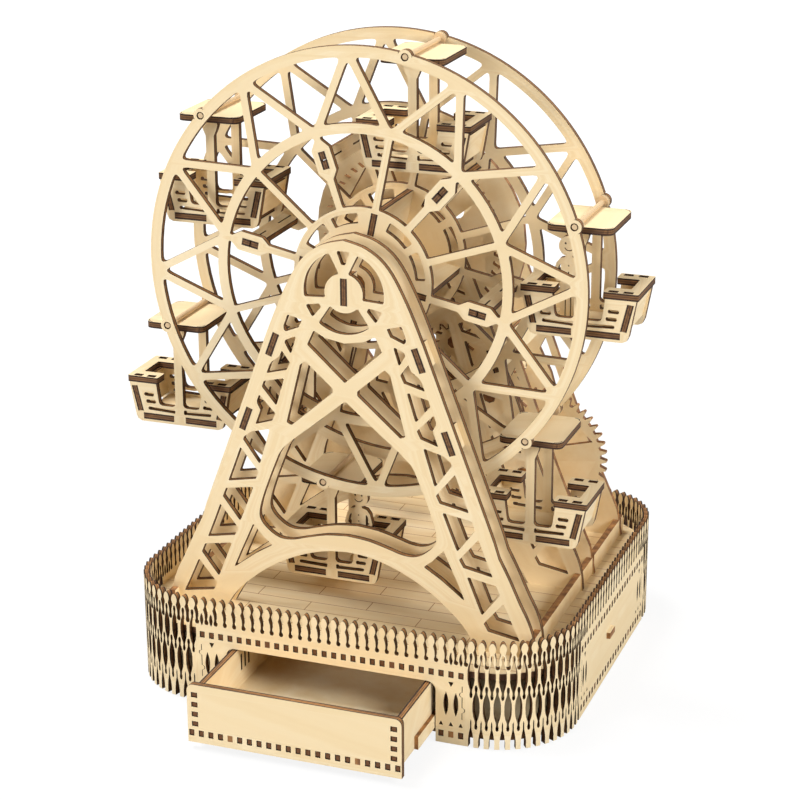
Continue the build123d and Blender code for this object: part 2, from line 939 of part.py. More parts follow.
def end_panel_profile(side):
    """Leaning end of the tub, seen from the front."""
    return [
        (side * (end_top[0] - ply), end_top[1]),
        (side * end_top[0], end_top[1]),
        (side * end_low[0], end_low[1]),
        (side * (end_low[0] - ply), end_low[1]),
    ]


def cabin(number, x, z):
    """One cabin in three groups of pieces: sides, tub and top."""
    with BuildPart() as sides:
        for depth in (side_front, side_back):
            with BuildSketch(facing(depth, x, z)):
                cabin_side_outline()
                for side in (-1, 1):
                    outline(end_panel_profile(side), Mode.SUBTRACT)
            extrude(amount=-ply)
    keep(sides.part, f"cabin_{number}_sides")

    tub_front = side_front
    tub_back = side_back + ply
    with BuildPart() as tub:
        for side in (-1, 1):
            with BuildSketch(facing(tub_front, x, z)):
                outline(end_panel_profile(side))
            extrude(amount=-(tub_back - tub_front))
        with BuildSketch(facing(side_front + ply, x, z)):
            with Locations((0, floor_under + ply / 2)):
                Rectangle(2 * floor_half_width, ply)
        extrude(amount=-(side_back - side_front - ply))
        with BuildSketch(level(z - tub_drop)):
            middle_depth = (tub_front + tub_back) / 2
            for side in (-1, 1):
                with Locations((x + side * (rail_inner + rail_outer) / 2, middle_depth)):
                    Rectangle(rail_outer - rail_inner, tub_back - tub_front)
                with Locations(
                    (x + side * (rail_inner + rail_outer - rail_web) / 2, middle_depth)
                ):
                    Rectangle(
                        rail_outer - rail_inner - rail_web,
                        tub_back - tub_front - 2 * rail_arm,
                        mode=Mode.SUBTRACT,
                    )
        extrude(amount=ply)
    keep(tub.part, f"cabin_{number}_tub")

    with BuildPart() as top:
        with BuildSketch(level(z + roof_under)):
            with Locations((x, wheel_middle)):
                Rectangle(roof_width, roof_depth)
        extrude(amount=ply)
        chamfer(top.edges().filter_by(Axis.Z), length=roof_corner)
        stick(rim_front_depth, rim_back_depth + ply, pin_radius, x, z)
    keep(top.part, f"cabin_{number}_top")


for number, (x, z) in enumerate(pivots, start=1):
    cabin(number, x, z)


# ---------------------------------------------------------------- passengers
def passenger(label, x, z, side):
    """Flat wooden figure with its hands on its hips, on one half of the cabin floor."""
    feet = floor_top
    with BuildPart() as figure:
        with BuildSketch(facing(wheel_middle - ply / 2, x + side * passenger_offset, z)):
            with Locations((0, feet + 32)):
                RegularPolygon(5.4, 12)
            outline(
                [(-4.2, feet), (4.2, feet), (3.4, feet + 14), (7.2, feet + 19), (3.2, feet + 28),
                 (-3.2, feet + 28), (-7.2, feet + 19), (-3.4, feet + 14)]
            )
            mirrored_window([(3.4, feet + 17), (5.2, feet + 19.2), (3.4, feet + 23)])
        extrude(amount=-ply)
    keep(figure.part, label)


passenger("passenger_high", *pivots[1], side=-1)
passenger("passenger_low", *pivots[3], side=1)

# ---------------------------------------------------------------- drawer
drawer_floor_under = bottom_plate_under + ply + 0.3
drawer_side_top = opening_top - 0.8
drawer_side_outer = drawer_half_width - 2.0
drawer_back_end = drawer_face + drawer_length
front_bottom = bottom_plate_under + 0.2
drawer_tabs = both_sides([tab_step * picket_pitch])
side_tab_height = (front_bottom + drawer_top) / 2
side_tab_length = 2 * picket_pitch

with BuildPart() as drawer_front:
    with BuildSketch(facing(drawer_face)):
        with Locations((0, (front_bottom + drawer_top) / 2)):
            Rectangle(2 * drawer_half_width, drawer_top - front_bottom)
        for place in drawer_tabs:
            with Locations((place, drawer_floor_under + ply / 2)):
                Rectangle(tab_width, ply, mode=Mode.SUBTRACT)
        for side in (-1, 1):
            with Locations((side * (drawer_side_outer - ply / 2), side_tab_height)):
                Rectangle(ply, side_tab_length, mode=Mode.SUBTRACT)
    extrude(amount=-ply)
    fillet(drawer_front.edges().filter_by(Axis.Y).group_by(Axis.Z)[-1], radius=3)
keep(drawer_front.part, "drawer_front")

def drawer_side(label, side):
    low = min(side * drawer_side_outer, side * (drawer_side_outer - ply))
    with BuildPart() as panel:
        box_between(
            (low, drawer_face + ply, drawer_floor_under),
            (low + ply, drawer_back_end, drawer_side_top),
        )
        box_between(
            (low, drawer_face, side_tab_height - side_tab_length / 2),
            (low + ply, drawer_face + ply, side_tab_height + side_tab_length / 2),
        )
    keep(panel.part, label)


drawer_side("drawer_side_left", -1)
drawer_side("drawer_side_right", 1)

inner_side = drawer_side_outer - ply
with BuildPart() as drawer_back:
    box_between(
        (-inner_side, drawer_back_end - ply, drawer_floor_under),
        (inner_side, drawer_back_end, drawer_side_top),
    )
keep(drawer_back.part, "drawer_back")

with BuildPart() as drawer_floor:
    box_between(
        (-inner_side, drawer_face + ply, drawer_floor_under),
        (inner_side, drawer_back_end - ply, drawer_floor_under + ply),
    )
    for place in drawer_tabs:
        box_between(
            (place - tab_width / 2, drawer_face, drawer_floor_under),
            (place + tab_width / 2, drawer_face + ply, drawer_floor_under + ply),
        )
keep(drawer_floor.part, "drawer_floor")

runner_thickness = 1.8
with BuildPart() as drawer_runners:
    for side in (-1, 1):
        low = min(side * drawer_side_outer, side * (drawer_side_outer + runner_thickness))
        box_between(
            (low, drawer_face + 21, drawer_floor_under),
            (low + runner_thickness, drawer_back_end, drawer_floor_under + 6),
        )
keep(drawer_runners.part, "drawer_runners")
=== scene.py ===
"""Looks of the plywood ferris wheel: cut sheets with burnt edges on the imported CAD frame.

Sizes are in millimetres until a mesh is placed; the row frame is in metres. Depths are
counted from the front face of the front rim and shifted by `DEPTH_CENTRE`, as in the solids.
"""

from math import atan2, cos, degrees, pi, radians, sin, sqrt

import bmesh
import bpy
from mathutils import Matrix, Vector


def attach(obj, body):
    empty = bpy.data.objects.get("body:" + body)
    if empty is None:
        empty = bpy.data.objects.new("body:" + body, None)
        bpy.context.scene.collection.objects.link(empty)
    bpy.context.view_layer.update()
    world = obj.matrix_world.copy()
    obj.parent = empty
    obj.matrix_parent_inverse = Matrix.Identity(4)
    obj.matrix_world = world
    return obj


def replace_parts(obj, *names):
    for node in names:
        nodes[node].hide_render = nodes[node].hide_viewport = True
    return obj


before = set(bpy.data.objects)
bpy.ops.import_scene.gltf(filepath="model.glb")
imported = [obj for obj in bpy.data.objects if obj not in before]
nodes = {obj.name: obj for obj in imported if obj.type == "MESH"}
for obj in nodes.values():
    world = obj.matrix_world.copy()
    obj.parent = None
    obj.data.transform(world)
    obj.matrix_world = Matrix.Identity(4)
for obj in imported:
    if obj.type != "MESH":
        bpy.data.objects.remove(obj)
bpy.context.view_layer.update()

# ---------------------------------------------------------------- driving sizes, as in the solids
MM = 0.001
PLY = 3.0
DEPTH_CENTRE = 45.55
BOX_WIDTH = 207.0
BOX_DEPTH = 191.0
BOX_FRONT = -45.0
BOX_BACK = BOX_FRONT + BOX_DEPTH
BOX_MIDDLE = (BOX_FRONT + BOX_BACK) / 2
BOX_RADIUS = 36.0
WALL_HEIGHT = 50.8
PITCH = 4.547
FRONT_PICKETS = 28
SIDE_PICKETS = 24
DECK_UNDER = 32.0
DECK_TOP = DECK_UNDER + PLY
LOW_PLATE = 3.0
OPENING_HALF = 49.8
OPENING_TOP = 28.7
HUB = 193.5
PIVOT_RADIUS = 100.0
CABINS = 6
FIRST_ANGLE = 78.4
RIM_SPACING = 44.8
TOWER_DEPTHS = (-21.8, -9.5)
BACK_TOWER_DEPTH = 54.3
OUTER_PLATE_DEPTH = 123.0
DRAWER_HALF = 49.5
DRAWER_FACE = BOX_FRONT - 41.9
DRAWER_TOP = 31.0
FRONT_SEAM = FRONT_PICKETS * PITCH / 2
SIDE_SEAM = SIDE_PICKETS * PITCH / 2


# ---------------------------------------------------------------- outlines
TOUCHING = 1e-6
NEARLY_STRAIGHT = radians(172)
SHARPEST = 0.05
SIDE_SHARE = 0.48


def arc(radius, start, end, steps, centre=(0.0, 0.0)):
    """Points on an arc, angles in degrees."""
    points = []
    for step in range(steps + 1):
        turn = radians(start + (end - start) * step / steps)
        points.append((centre[0] + radius * cos(turn), centre[1] + radius * sin(turn)))
    return points


def circle(radius, steps, centre=(0.0, 0.0)):
    return arc(radius, 0, 360 * (steps - 1) / steps, steps - 1, centre)


def rectangle(width, height, centre=(0.0, 0.0), turn=0.0):
    corners = [(-width / 2, -height / 2), (width / 2, -height / 2),
               (width / 2, height / 2), (-width / 2, height / 2)]
    return moved(corners, centre, turn)


def moved(points, centre=(0.0, 0.0), turn=0.0):
    """Points turned by `turn` degrees and then shifted."""
    c, s = cos(radians(turn)), sin(radians(turn))
    return [(centre[0] + c * u - s * v, centre[1] + s * u + c * v) for u, v in points]


def mirrored(points):
    return [(-u, v) for u, v in reversed(points)]


def rounded(points, radius, steps=4):
    """The same loop with every corner replaced by a small arc."""
    result = []
    count = len(points)
    for index, corner in enumerate(points):
        here = Vector(corner)
        back = Vector(points[index - 1]) - here
        ahead = Vector(points[(index + 1) % count]) - here
        if back.length < TOUCHING or ahead.length < TOUCHING:
            continue
        opening = back.angle(ahead)
        if opening > NEARLY_STRAIGHT:
            result.append(corner)
            continue
        tangent = max(SHARPEST, sin(opening / 2) / cos(opening / 2))
        reach = min(radius / tangent, SIDE_SHARE * back.length, SIDE_SHARE * ahead.length)
        start = here + back.normalized() * reach
        end = here + ahead.normalized() * reach
        for step in range(steps + 1):
            t = step / steps
            bend = start * (1 - t) ** 2 + here * 2 * t * (1 - t) + end * t ** 2
            result.append((bend.x, bend.y))
    return result


def spline_points(knots, steps):
    """Smooth curve through the knots."""
    points = []
    last = len(knots) - 1
    for index in range(last):
        p0 = Vector(knots[max(0, index - 1)])
        p1 = Vector(knots[index])
        p2 = Vector(knots[index + 1])
        p3 = Vector(knots[min(last, index + 2)])
        for step in range(steps):
            t = step / steps
            bend = 0.5 * (2 * p1 + (p2 - p0) * t + (2 * p0 - 5 * p1 + 4 * p2 - p3) * t ** 2
                          + (3 * p1 - p0 - 3 * p2 + p3) * t ** 3)
            points.append((bend.x, bend.y))
    points.append(tuple(knots[-1]))
    return points


def both_halves(half):
    """Closed loop from its right half, which starts and ends on the middle line."""
    return half + mirrored(half)[1:-1]


# ---------------------------------------------------------------- placing sheets
X_AXIS = Vector((1, 0, 0))
Y_AXIS = Vector((0, 1, 0))
Z_AXIS = Vector((0, 0, 1))
UV_TILE = 100


def placing(origin, along, up):
    """Matrix to metres from local millimetres, whose u runs `along` and v runs `up`."""
    out = along.cross(up)
    rows = [[along[i], up[i], out[i], origin[i]] for i in range(3)] + [[0, 0, 0, 1]]
    return Matrix.Scale(MM, 4) @ Matrix(rows)


def standing(middle):
    """Local u is x and v is height, round the sheet's middle."""
    return placing(Vector(middle), X_AXIS, Z_AXIS)


def lying(middle):
    """Local u is x and v is depth, round the sheet's middle."""
    return placing(Vector(middle), X_AXIS, Y_AXIS)


def upright(depth, x=0.0, z=0.0):
    """Local u is x, v is height, and the sheet fills `depth` to `depth` + PLY."""
    return standing((x, depth + PLY / 2 - DEPTH_CENTRE, z))


def side_on(x, side=1):
    """Local u is depth, v is height; the sheet's outer face lies at x."""
    return placing(Vector((x - side * PLY / 2, -DEPTH_CENTRE, 0)), Y_AXIS, Z_AXIS)


def sheet_mesh(name, loops, thickness):
    """Flat sheet with holes, in millimetres round its middle plane."""
    curve = bpy.data.curves.new(name, "CURVE")
    curve.dimensions = "2D"
    curve.fill_mode = "BOTH"
    curve.extrude = thickness / 2
    for loop in loops:
        spline = curve.splines.new("POLY")
        spline.points.add(len(loop) - 1)
        spline.points.foreach_set("co", [value for u, v in loop for value in (u, v, 0.0, 1.0)])
        spline.use_cyclic_u = True
    holder = bpy.data.objects.new(name, curve)
    bpy.context.scene.collection.objects.link(holder)
    evaluated = holder.evaluated_get(bpy.context.evaluated_depsgraph_get())
    mesh = bpy.data.meshes.new_from_object(evaluated)
    bpy.data.objects.remove(holder)
    bpy.data.curves.remove(curve)
    paint(mesh, thickness)
    return mesh


def paint(mesh, thickness):
    """Face and edge materials; on an edge, V runs across the sheet from 0 to 1."""
    mesh.materials.clear()
    mesh.materials.append(FACE)
    mesh.materials.append(EDGE)
    uv = mesh.uv_layers.new(name="sheet")
    for polygon in mesh.polygons:
        flat = abs(polygon.normal.z) > 0.5
        polygon.material_index = 0 if flat else 1
        polygon.use_smooth = False
        for loop_index in polygon.loop_indices:
            point = mesh.vertices[mesh.loops[loop_index].vertex_index].co
            if flat:
                place = (point.x / UV_TILE, point.y / UV_TILE)
            else:
                place = ((point.x + point.y) / UV_TILE, point.z / thickness + 0.5)
            uv.data[loop_index].uv = place


def show(name, mesh, body, location=(0, 0, 0)):
    piece = bpy.data.objects.new(name, mesh)
    bpy.context.scene.collection.objects.link(piece)
    piece.location = location
    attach(piece, body)
    return piece


def sheet(name, loops, place, body, thickness=PLY):
    mesh = sheet_mesh(name, loops, thickness)
    mesh.transform(place)
    mesh.update()
    return show(name, mesh, body)


# ---------------------------------------------------------------- materials
BIRCH_LIGHT = (0.935, 0.775, 0.510)
BIRCH_MID = (0.885, 0.693, 0.408)
BIRCH_DARK = (0.800, 0.585, 0.295)
BURNT_AND_SHADE = (0.040, 0.015, 0.006)
CHAR = (0.018, 0.007, 0.003)
TOASTED = (0.430, 0.200, 0.062)
SINGED = (0.150, 0.058, 0.018)
STICK = (0.720, 0.520, 0.300)
BIRCH_STOPS = ((0.28, BIRCH_DARK), (0.46, BIRCH_MID), (0.66, BIRCH_LIGHT))
PLY_STOPS = ((0.00, CHAR), (0.20, CHAR), (0.30, TOASTED), (0.42, TOASTED),
             (0.50, BURNT_AND_SHADE), (0.58, TOASTED), (0.72, TOASTED), (0.82, CHAR))
SCORCH_STOPS = ((0.35, (0.30, 0.30, 0.30)), (0.60, (1.0, 1.0, 1.0)))
SOLID_EDGE_STOPS = ((0.35, SINGED), (0.70, TOASTED))
FACE_GRAIN = (5.0, 1.2, 1.0)
EDGE_GRAIN = (30.0, 1.5, 1.0)
BOARD_GRAIN = (12.0, 90.0, 12.0)
SOLID_GRAIN = (60.0, 60.0, 60.0)
SOLID_SCORCH = 260.0
BOARD_LENGTH = 54.0
BOARD_WIDTH = 9.0
JOINT_WIDTH = 0.22
FACES_AXIS = 0.6


class Looks:
    """A new material, with short ways to add its nodes and join them."""

    def __init__(self, name, roughness):
        self.material = bpy.data.materials.new(name)
        self.material.use_nodes = True
        self.nodes = self.material.node_tree.nodes
        self.shader = self.nodes["Principled BSDF"]
        self.shader.inputs["Roughness"].default_value = roughness

    def feed(self, socket, value):
        """Joins an output to the socket, or sets the socket's own value."""
        if isinstance(value, bpy.types.NodeSocket):
            self.material.node_tree.links.new(value, socket)
        elif socket.type == "RGBA":
            socket.default_value = (*value, 1)
        else:
            socket.default_value = value

    def add(self, kind, inputs):
        node = self.nodes.new(f"ShaderNode{kind}")
        for name, value in inputs.items():
            self.feed(node.inputs[name], value)
        return node.outputs

    def where(self, kind):
        return self.nodes.new("ShaderNodeTexCoord").outputs[kind]

    def part(self, kind, axis):
        """One component of a coordinate."""
        return self.add("SeparateXYZ", {"Vector": self.where(kind)})[axis]

    def math(self, operation, first, second=0.0):
        node = self.nodes.new("ShaderNodeMath")
        node.operation = operation
        self.feed(node.inputs[0], first)
        self.feed(node.inputs[1], second)
        return node.outputs[0]

    def mixed(self, factor, low, high):
        node = self.nodes.new("ShaderNodeMix")
        node.data_type = "RGBA"
        self.feed(node.inputs["Factor"], factor)
        self.feed(node.inputs["A"], low)
        self.feed(node.inputs["B"], high)
        return node.outputs["Result"]

    def ramp(self, factor, stops):
        node = self.nodes.new("ShaderNodeValToRGB")
        elements = node.color_ramp.elements
        while len(elements) < len(stops):
            elements.new(0.5)
        for element, (place, colour) in zip(elements, stops):
            element.position = place
            element.color = (*colour, 1)
        self.feed(node.inputs["Fac"], factor)
        return node.outputs["Color"]

    def noise(self, kind, stretch, inputs):
        """Noise over a coordinate that is scaled apart along its axes."""
        scaled = self.add("Mapping", {"Vector": self.where(kind), "Scale": stretch})["Vector"]
        return self.add("TexNoise", {"Vector": scaled, "Scale": 1.0, **inputs})["Fac"]

    def birch(self, kind, stretch):
        """Fine grain drawn out along one direction."""
        grain = self.noise(kind, stretch, {"Detail": 4.0, "Roughness": 0.6})
        return self.ramp(grain, BIRCH_STOPS)

    def coloured(self, colour):
        """The finished material, in this colour."""
        self.feed(self.shader.inputs["Base Color"], colour)
        return self.material


def face_material():
    looks = Looks("birch_face", 0.62)
    return looks.coloured(looks.birch("UV", FACE_GRAIN))


def edge_material():
    """Burnt cut edge: three dark and two toasted plies, unevenly scorched, with painted shade that
    darkens edges facing sideways or down.
    """
    looks = Looks("burnt_edge_and_painted_shade", 0.75)
    plies = looks.ramp(looks.part("UV", "Y"), PLY_STOPS)
    amount = looks.ramp(looks.noise("UV", EDGE_GRAIN, {"Detail": 3.0}), SCORCH_STOPS)
    scorched = looks.mixed(amount, BURNT_AND_SHADE, plies)
    # Painted shade: edges facing sideways or down get 45% of the burnt colour mixed in, as if in
    # shade; edges facing up keep their plies.
    painted_light_by_facing = looks.add("MapRange", {"Value": looks.part("Normal", "Z"), "From Min": 0.0,
                                    "From Max": 0.7, "To Min": 0.55, "To Max": 1.0})["Result"]
    return looks.coloured(looks.mixed(painted_light_by_facing, BURNT_AND_SHADE, scorched))


def board_material():
    """Deck top with the joints of its boards burnt in as fine lines."""
    looks = Looks("deck_boards", 0.62)
    birch = looks.birch("Object", BOARD_GRAIN)
    joints = looks.add("TexBrick", {
        "Vector": looks.where("Object"), "Scale": 1.0, "Brick Width": BOARD_LENGTH * MM,
        "Row Height": BOARD_WIDTH * MM, "Mortar Size": JOINT_WIDTH * MM, "Mortar Smooth": 0.3})
    boards = looks.mixed(joints["Fac"], birch, TOASTED)
    is_top = looks.math("GREATER_THAN", looks.part("Normal", "Z"), FACES_AXIS)
    return looks.coloured(looks.mixed(is_top, SINGED, boards))


def solid_material(name, axis, test="GREATER_THAN"):
    """For CAD nodes: birch where the normal passes the test along an axis, elsewhere burnt."""
    looks = Looks(name, 0.65)
    is_face = looks.math(test, looks.math("ABSOLUTE", looks.part("Normal", axis)), FACES_AXIS)
    birch = looks.birch("Object", SOLID_GRAIN)
    scorch = looks.add("TexNoise", {"Vector": looks.where("Object"), "Scale": SOLID_SCORCH})["Fac"]
    return looks.coloured(looks.mixed(is_face, looks.ramp(scorch, SOLID_EDGE_STOPS), birch))


def plain_material(name, colour, roughness):
    return Looks(name, roughness).coloured(colour)


FACE = face_material()
EDGE = edge_material()
FACE_Y = solid_material("solid_faces_front", "Y")
FACE_X = solid_material("solid_faces_side", "X")
FACE_Z = solid_material("solid_faces_level", "Z")
ENDS_Y = solid_material("solid_ends_front", "Y", "LESS_THAN")
DECK = board_material()
MARK = plain_material("scorch_mark", CHAR, 0.9)
TAB_END = plain_material("tab_end", SINGED, 0.8)
STICK_WOOD = plain_material("stick", STICK, 0.7)

for look, members in (
    (FACE_Y, ("wheel_gear", "first_pinion", "first_gear", "second_pinion", "second_gear",
              "crank_gear", "crank_arm", "drawer_back", "gear_plate_inner", "gear_plate_outer")),
    (FACE_X, ("sill_left", "sill_right", "drawer_runners")),
    (FACE_Z, ("bottom_plate", "drawer_floor", "cross_rib")),
    (DECK, ("deck",)),
    (ENDS_Y, ("wheel_axle", "first_shaft", "second_shaft", "crank_shaft", "crank_knob")),
):
    for member in members:
        mesh = nodes[member].data
        mesh.materials.clear()
        mesh.materials.append(look)


# ---------------------------------------------------------------- fence walls
GAP_PROFILE = ((2.0, 0.0), (1.55, -0.45), (1.15, -1.1), (0.8, -2.2), (0.75, -3.2), (1.4, -5.0),
               (0.75, -7.4), (0.65, -9.6), (1.0, -11.0), (0.9, -11.8), (0.45, -12.3))
GAP_BOTTOM = WALL_HEIGHT + GAP_PROFILE[-1][1]
HINGE_PROFILE = ((0.0, 10.8), (0.6, 10.2), (0.7, 9.0), (0.45, 7.6), (0.55, 6.6), (1.25, 4.4),
                 (1.6, 2.2), (1.65, 0.0))
COMB_PROFILE = ((-1.2, 0), (-1.25, 3.4), (-0.9, 6.4), (-0.3, 9.4), (-0.3, 12.2), (0, 13.6),
                (0.3, 12.2), (0.3, 9.4), (0.9, 6.4), (1.25, 3.4), (1.2, 0))
# Cuts beside a seam: height of the middle, then width and length, or size.
UPPER_OVAL = (41.0, 1.7, 6.2)
LOWER_OVAL = (19.3, 2.3, 11.6)
UPPER_TRIANGLE = (28.7, 2.4)
LOWER_TRIANGLE = (9.6, 2.0)
SEAM_KNOBS = ((17.0, 1), (24.5, -1))
KNOB_RADIUS = 1.2
SEAM_LINE = 0.36
SEAM_ENDS = (12.6, 28.6)
SEAM_INSET = 1.7
HINGE_ROWS = (34.5, 19.5)
OPENING_CORNER = 4.0
TAB_WIDTH = 2.4
TAB_PLAY = 0.8
TAB_SUNK = 0.5
RIB_WIDTH = 8.5
RIB_FRONT = 39.5
RIB_UNDER = 19.8


def picket_top(start, end, gaps):
    """Upper edge of a wall from `end` back to `start`, with half a gap at both seams."""
    points = [(end - half_width, WALL_HEIGHT + drop) for half_width, drop in reversed(GAP_PROFILE)]
    for gap in sorted(gaps, reverse=True):
        for half_width, drop in GAP_PROFILE:
            points.append((gap + half_width, WALL_HEIGHT + drop))
        for half_width, drop in reversed(GAP_PROFILE):
            points.append((gap - half_width, WALL_HEIGHT + drop))
    points += [(start + half_width, WALL_HEIGHT + drop) for half_width, drop in GAP_PROFILE]
    return points


def lens(u, v, width, height, steps=6):
    """Pointed oval."""
    right = [(width / 2 * sin(pi * step / steps) ** 0.8, height * (step / steps - 0.5))
             for step in range(1, steps)]
    loop = [(0, -height / 2)] + right + [(0, height / 2)] + [(-a, b) for a, b in reversed(right)]
    return moved(loop, (u, v))


def hinge_slot(u, v):
    """Long slot of the bending pattern: an oval with a thin neck and a drop at both ends."""
    upper = [(half_width, rise) for half_width, rise in HINGE_PROFILE]
    lower = [(half_width, -rise) for half_width, rise in reversed(HINGE_PROFILE[:-1])]
    right = upper + lower
    left = [(-half_width, rise) for half_width, rise in reversed(right[1:-1])]
    return moved(right + left, (u, v))


def triangle(u, v, size, up=1):
    return moved([(-size / 2, -up * size / 2), (size / 2, -up * size / 2), (0, up * size / 2)],
                 (u, v))


def tab_hole(u, v):
    return rectangle(TAB_WIDTH, PLY, (u, v))


def seam_slot(u):
    """Thin wavy cut of the jigsaw joint beside a seam."""
    path = [(0.0, SEAM_ENDS[0])]
    for height, side in SEAM_KNOBS:
        path += [(side * a, height + b) for a, b in arc(KNOB_RADIUS, -90, 90, 8)]
    path.append((0.0, SEAM_ENDS[1]))
    near = [(u + a - SEAM_LINE / 2, v) for a, v in path]
    far = [(u + a + SEAM_LINE / 2, v) for a, v in reversed(path)]
    return near + far


def end_marks(u_of, seam):
    """Ovals and triangles cut beside a seam; `u_of` gives a place from a pitch count."""
    marks = []
    for side in (-1, 1):
        for count in (seam - 1.5, seam - 0.5):
            marks.append(lens(u_of(side * count), *UPPER_OVAL))
        for count in (seam - 2, seam - 1):
            marks.append(lens(u_of(side * count), *LOWER_OVAL))
        marks.append(triangle(u_of(side * (seam - 1.5)), *UPPER_TRIANGLE, -1))
        marks.append(seam_slot(u_of(side * seam) - side * SEAM_INSET))
        for count in (seam - 2.5, seam - 1.5, seam - 0.5):
            marks.append(triangle(u_of(side * count), *LOWER_TRIANGLE))
    return marks


def wall_loops(middle, pickets, opening):
    """Outer edge, holes and tab places of a straight wall seen from outside."""
    half = pickets * PITCH / 2
    gaps = [middle + PITCH * step for step in range(1 - pickets // 2, pickets // 2)]
    low, high = middle - half, middle + half
    foot = [(low, 0)]
    if opening:
        arch_half, arch_top = OPENING_HALF - OPENING_CORNER, OPENING_TOP - OPENING_CORNER
        foot.append((-OPENING_HALF, 0))
        foot += arc(OPENING_CORNER, 180, 90, 5, (-arch_half, arch_top))
        foot += arc(OPENING_CORNER, 90, 0, 5, (arch_half, arch_top))
        foot.append((OPENING_HALF, 0))
    foot.append((high, 0))
    outer = foot + [(high, GAP_BOTTOM)] + picket_top(low, high, gaps) + [(low, GAP_BOTTOM)]
    tabs = [middle + PITCH * (step + 0.5) for step in range(-pickets // 2, pickets // 2)]
    holes = [tab_hole(tab, DECK_UNDER + PLY / 2) for tab in tabs]
    low_tabs = [tab for tab in tabs if not opening or abs(tab) > OPENING_HALF + 1]
    holes += [tab_hole(tab, LOW_PLATE + PLY / 2) for tab in low_tabs]
    holes += end_marks(lambda count: middle + PITCH * count, pickets // 2)
    return outer, holes, tabs, low_tabs


def darken(tab_end_piece):
    tab_end_piece.data.materials[0] = TAB_END
    tab_end_piece.data.materials[1] = MARK


def tab_ends(name, tabs, low_tabs, place):
    """Ends of the deck's and the bottom's tabs, which fill their holes in the wall."""
    spots = [(tab, DECK_UNDER + PLY / 2) for tab in tabs]
    spots += [(tab, LOW_PLATE + PLY / 2) for tab in low_tabs]
    loops = [rectangle(TAB_WIDTH - TAB_PLAY, PLY - TAB_PLAY, spot) for spot in spots]
    darken(sheet(name, loops, place, "base", thickness=PLY - TAB_SUNK))


rib_hole = rectangle(RIB_WIDTH, PLY, (RIB_FRONT + RIB_WIDTH / 2, RIB_UNDER + PLY / 2))
for label, middle, pickets, extra_holes, place in (
    ("front", 0.0, FRONT_PICKETS, [], upright(BOX_FRONT)),
    ("back", 0.0, FRONT_PICKETS, [], upright(BOX_BACK - PLY)),
    ("left", BOX_MIDDLE, SIDE_PICKETS, [rib_hole], side_on(-BOX_WIDTH / 2, -1)),
    ("right", BOX_MIDDLE, SIDE_PICKETS, [rib_hole], side_on(BOX_WIDTH / 2)),
):
    outer, holes, tabs, low_tabs = wall_loops(middle, pickets, label == "front")
    wall = sheet(f"fence_{label}", [outer] + extra_holes + holes, place, "base")
    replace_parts(wall, f"wall_{label}")
    tab_ends(f"tab_ends_{label}", tabs, low_tabs, place)


# ---------------------------------------------------------------- bent corners
def bent(length_before, angle_start, centre, point):
    """Row-frame place of a point given along the flat strip, by its height and by its depth."""
    along, height, across = point
    sweep = BOX_RADIUS * pi / 2
    radius = BOX_RADIUS - PLY / 2 + across
    if along < length_before:
        turn, extra = 0.0, along - length_before
    elif along > length_before + sweep:
        turn, extra = 90.0, along - length_before - sweep
    else:
        turn, extra = degrees((along - length_before) / BOX_RADIUS), 0.0
    heading = radians(angle_start + turn)
    outward = (cos(heading), sin(heading))
    forward = (-sin(heading), cos(heading))
    x = centre[0] + radius * outward[0] + extra * forward[0]
    y = centre[1] + radius * outward[1] + extra * forward[1]
    return Vector((x, y - DEPTH_CENTRE, height)) * MM


def corner_strip(quadrant):
    side = 1 if quadrant in (0, 3) else -1
    end = 1 if quadrant < 2 else -1
    centre = (side * (BOX_WIDTH / 2 - BOX_RADIUS), BOX_MIDDLE + end * (BOX_DEPTH / 2 - BOX_RADIUS))
    flat_at_side = BOX_DEPTH / 2 - BOX_RADIUS - SIDE_SEAM
    flat_at_front = BOX_WIDTH / 2 - BOX_RADIUS - FRONT_SEAM
    before, after = ((flat_at_side, flat_at_front) if quadrant in (0, 2)
                     else (flat_at_front, flat_at_side))
    length = before + BOX_RADIUS * pi / 2 + after
    count = round(length / PITCH)
    step = length / count
    seams = [step * index for index in range(1, count)]
    middles = [step * (index + 0.5) for index in range(count)]
    comb = [(u + a, b) for u in middles for a, b in COMB_PROFILE]
    outer = [(0, 0)] + comb + [(length, 0), (length, GAP_BOTTOM)]
    outer += picket_top(0, length, seams) + [(0, GAP_BOTTOM)]
    holes = [hinge_slot(u, HINGE_ROWS[0]) for u in middles]
    holes += [hinge_slot(u, HINGE_ROWS[1]) for u in seams]
    name = f"bent_corner_{quadrant + 1}"
    mesh = sheet_mesh(name, [outer] + holes, PLY)
    for vertex in mesh.vertices:
        vertex.co = bent(before, quadrant * 90, centre, vertex.co)
    mesh.update()
    return show(name, mesh, "base")


for quadrant in range(4):
    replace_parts(corner_strip(quadrant), "corner_strips")


# ---------------------------------------------------------------- towers
RAIL_LEAN = 0.3766
SHOULDER = (36.0, 172.5)
FLARE_TOP = 87.5
FLARE_CURVE = 0.0011
RAIL_WIDTH = 6.6
BAR_WIDTH = 4.0
LOWEST_BAR = 43.0
BAYS = (28.7, 28.7, 28.7, 24.5, 20.1, 15.0)
APEX_SHARE = 0.66
APEX_DROP = 2.6
APEX_RISE = 3.8
LOWER_CORNER_RISE = 3.5
UPPER_FOOT_RISE = 9.2
UPPER_DROPS = (2, 4.4)
WINDOW_OVERLAP = 0.6
FOOT_HALF = 87.4
INNER_BEND = (44.7, 98.0)
INNER_LEANS = (0.304, 0.40)
HEAD_RING = 18.4
HEAD_RING_INNER = 8.8
HEAD_ARMS = (90, 210, 330)
HEAD_ARM_OUTER = 20.5
HEAD_ARM_INNER = 14
HEAD_HOLE = ((18.6, -3.1), (18.6, 3.1), (12.6, 0.9), (12.6, -0.9))
AXLE_BORE = 5.1
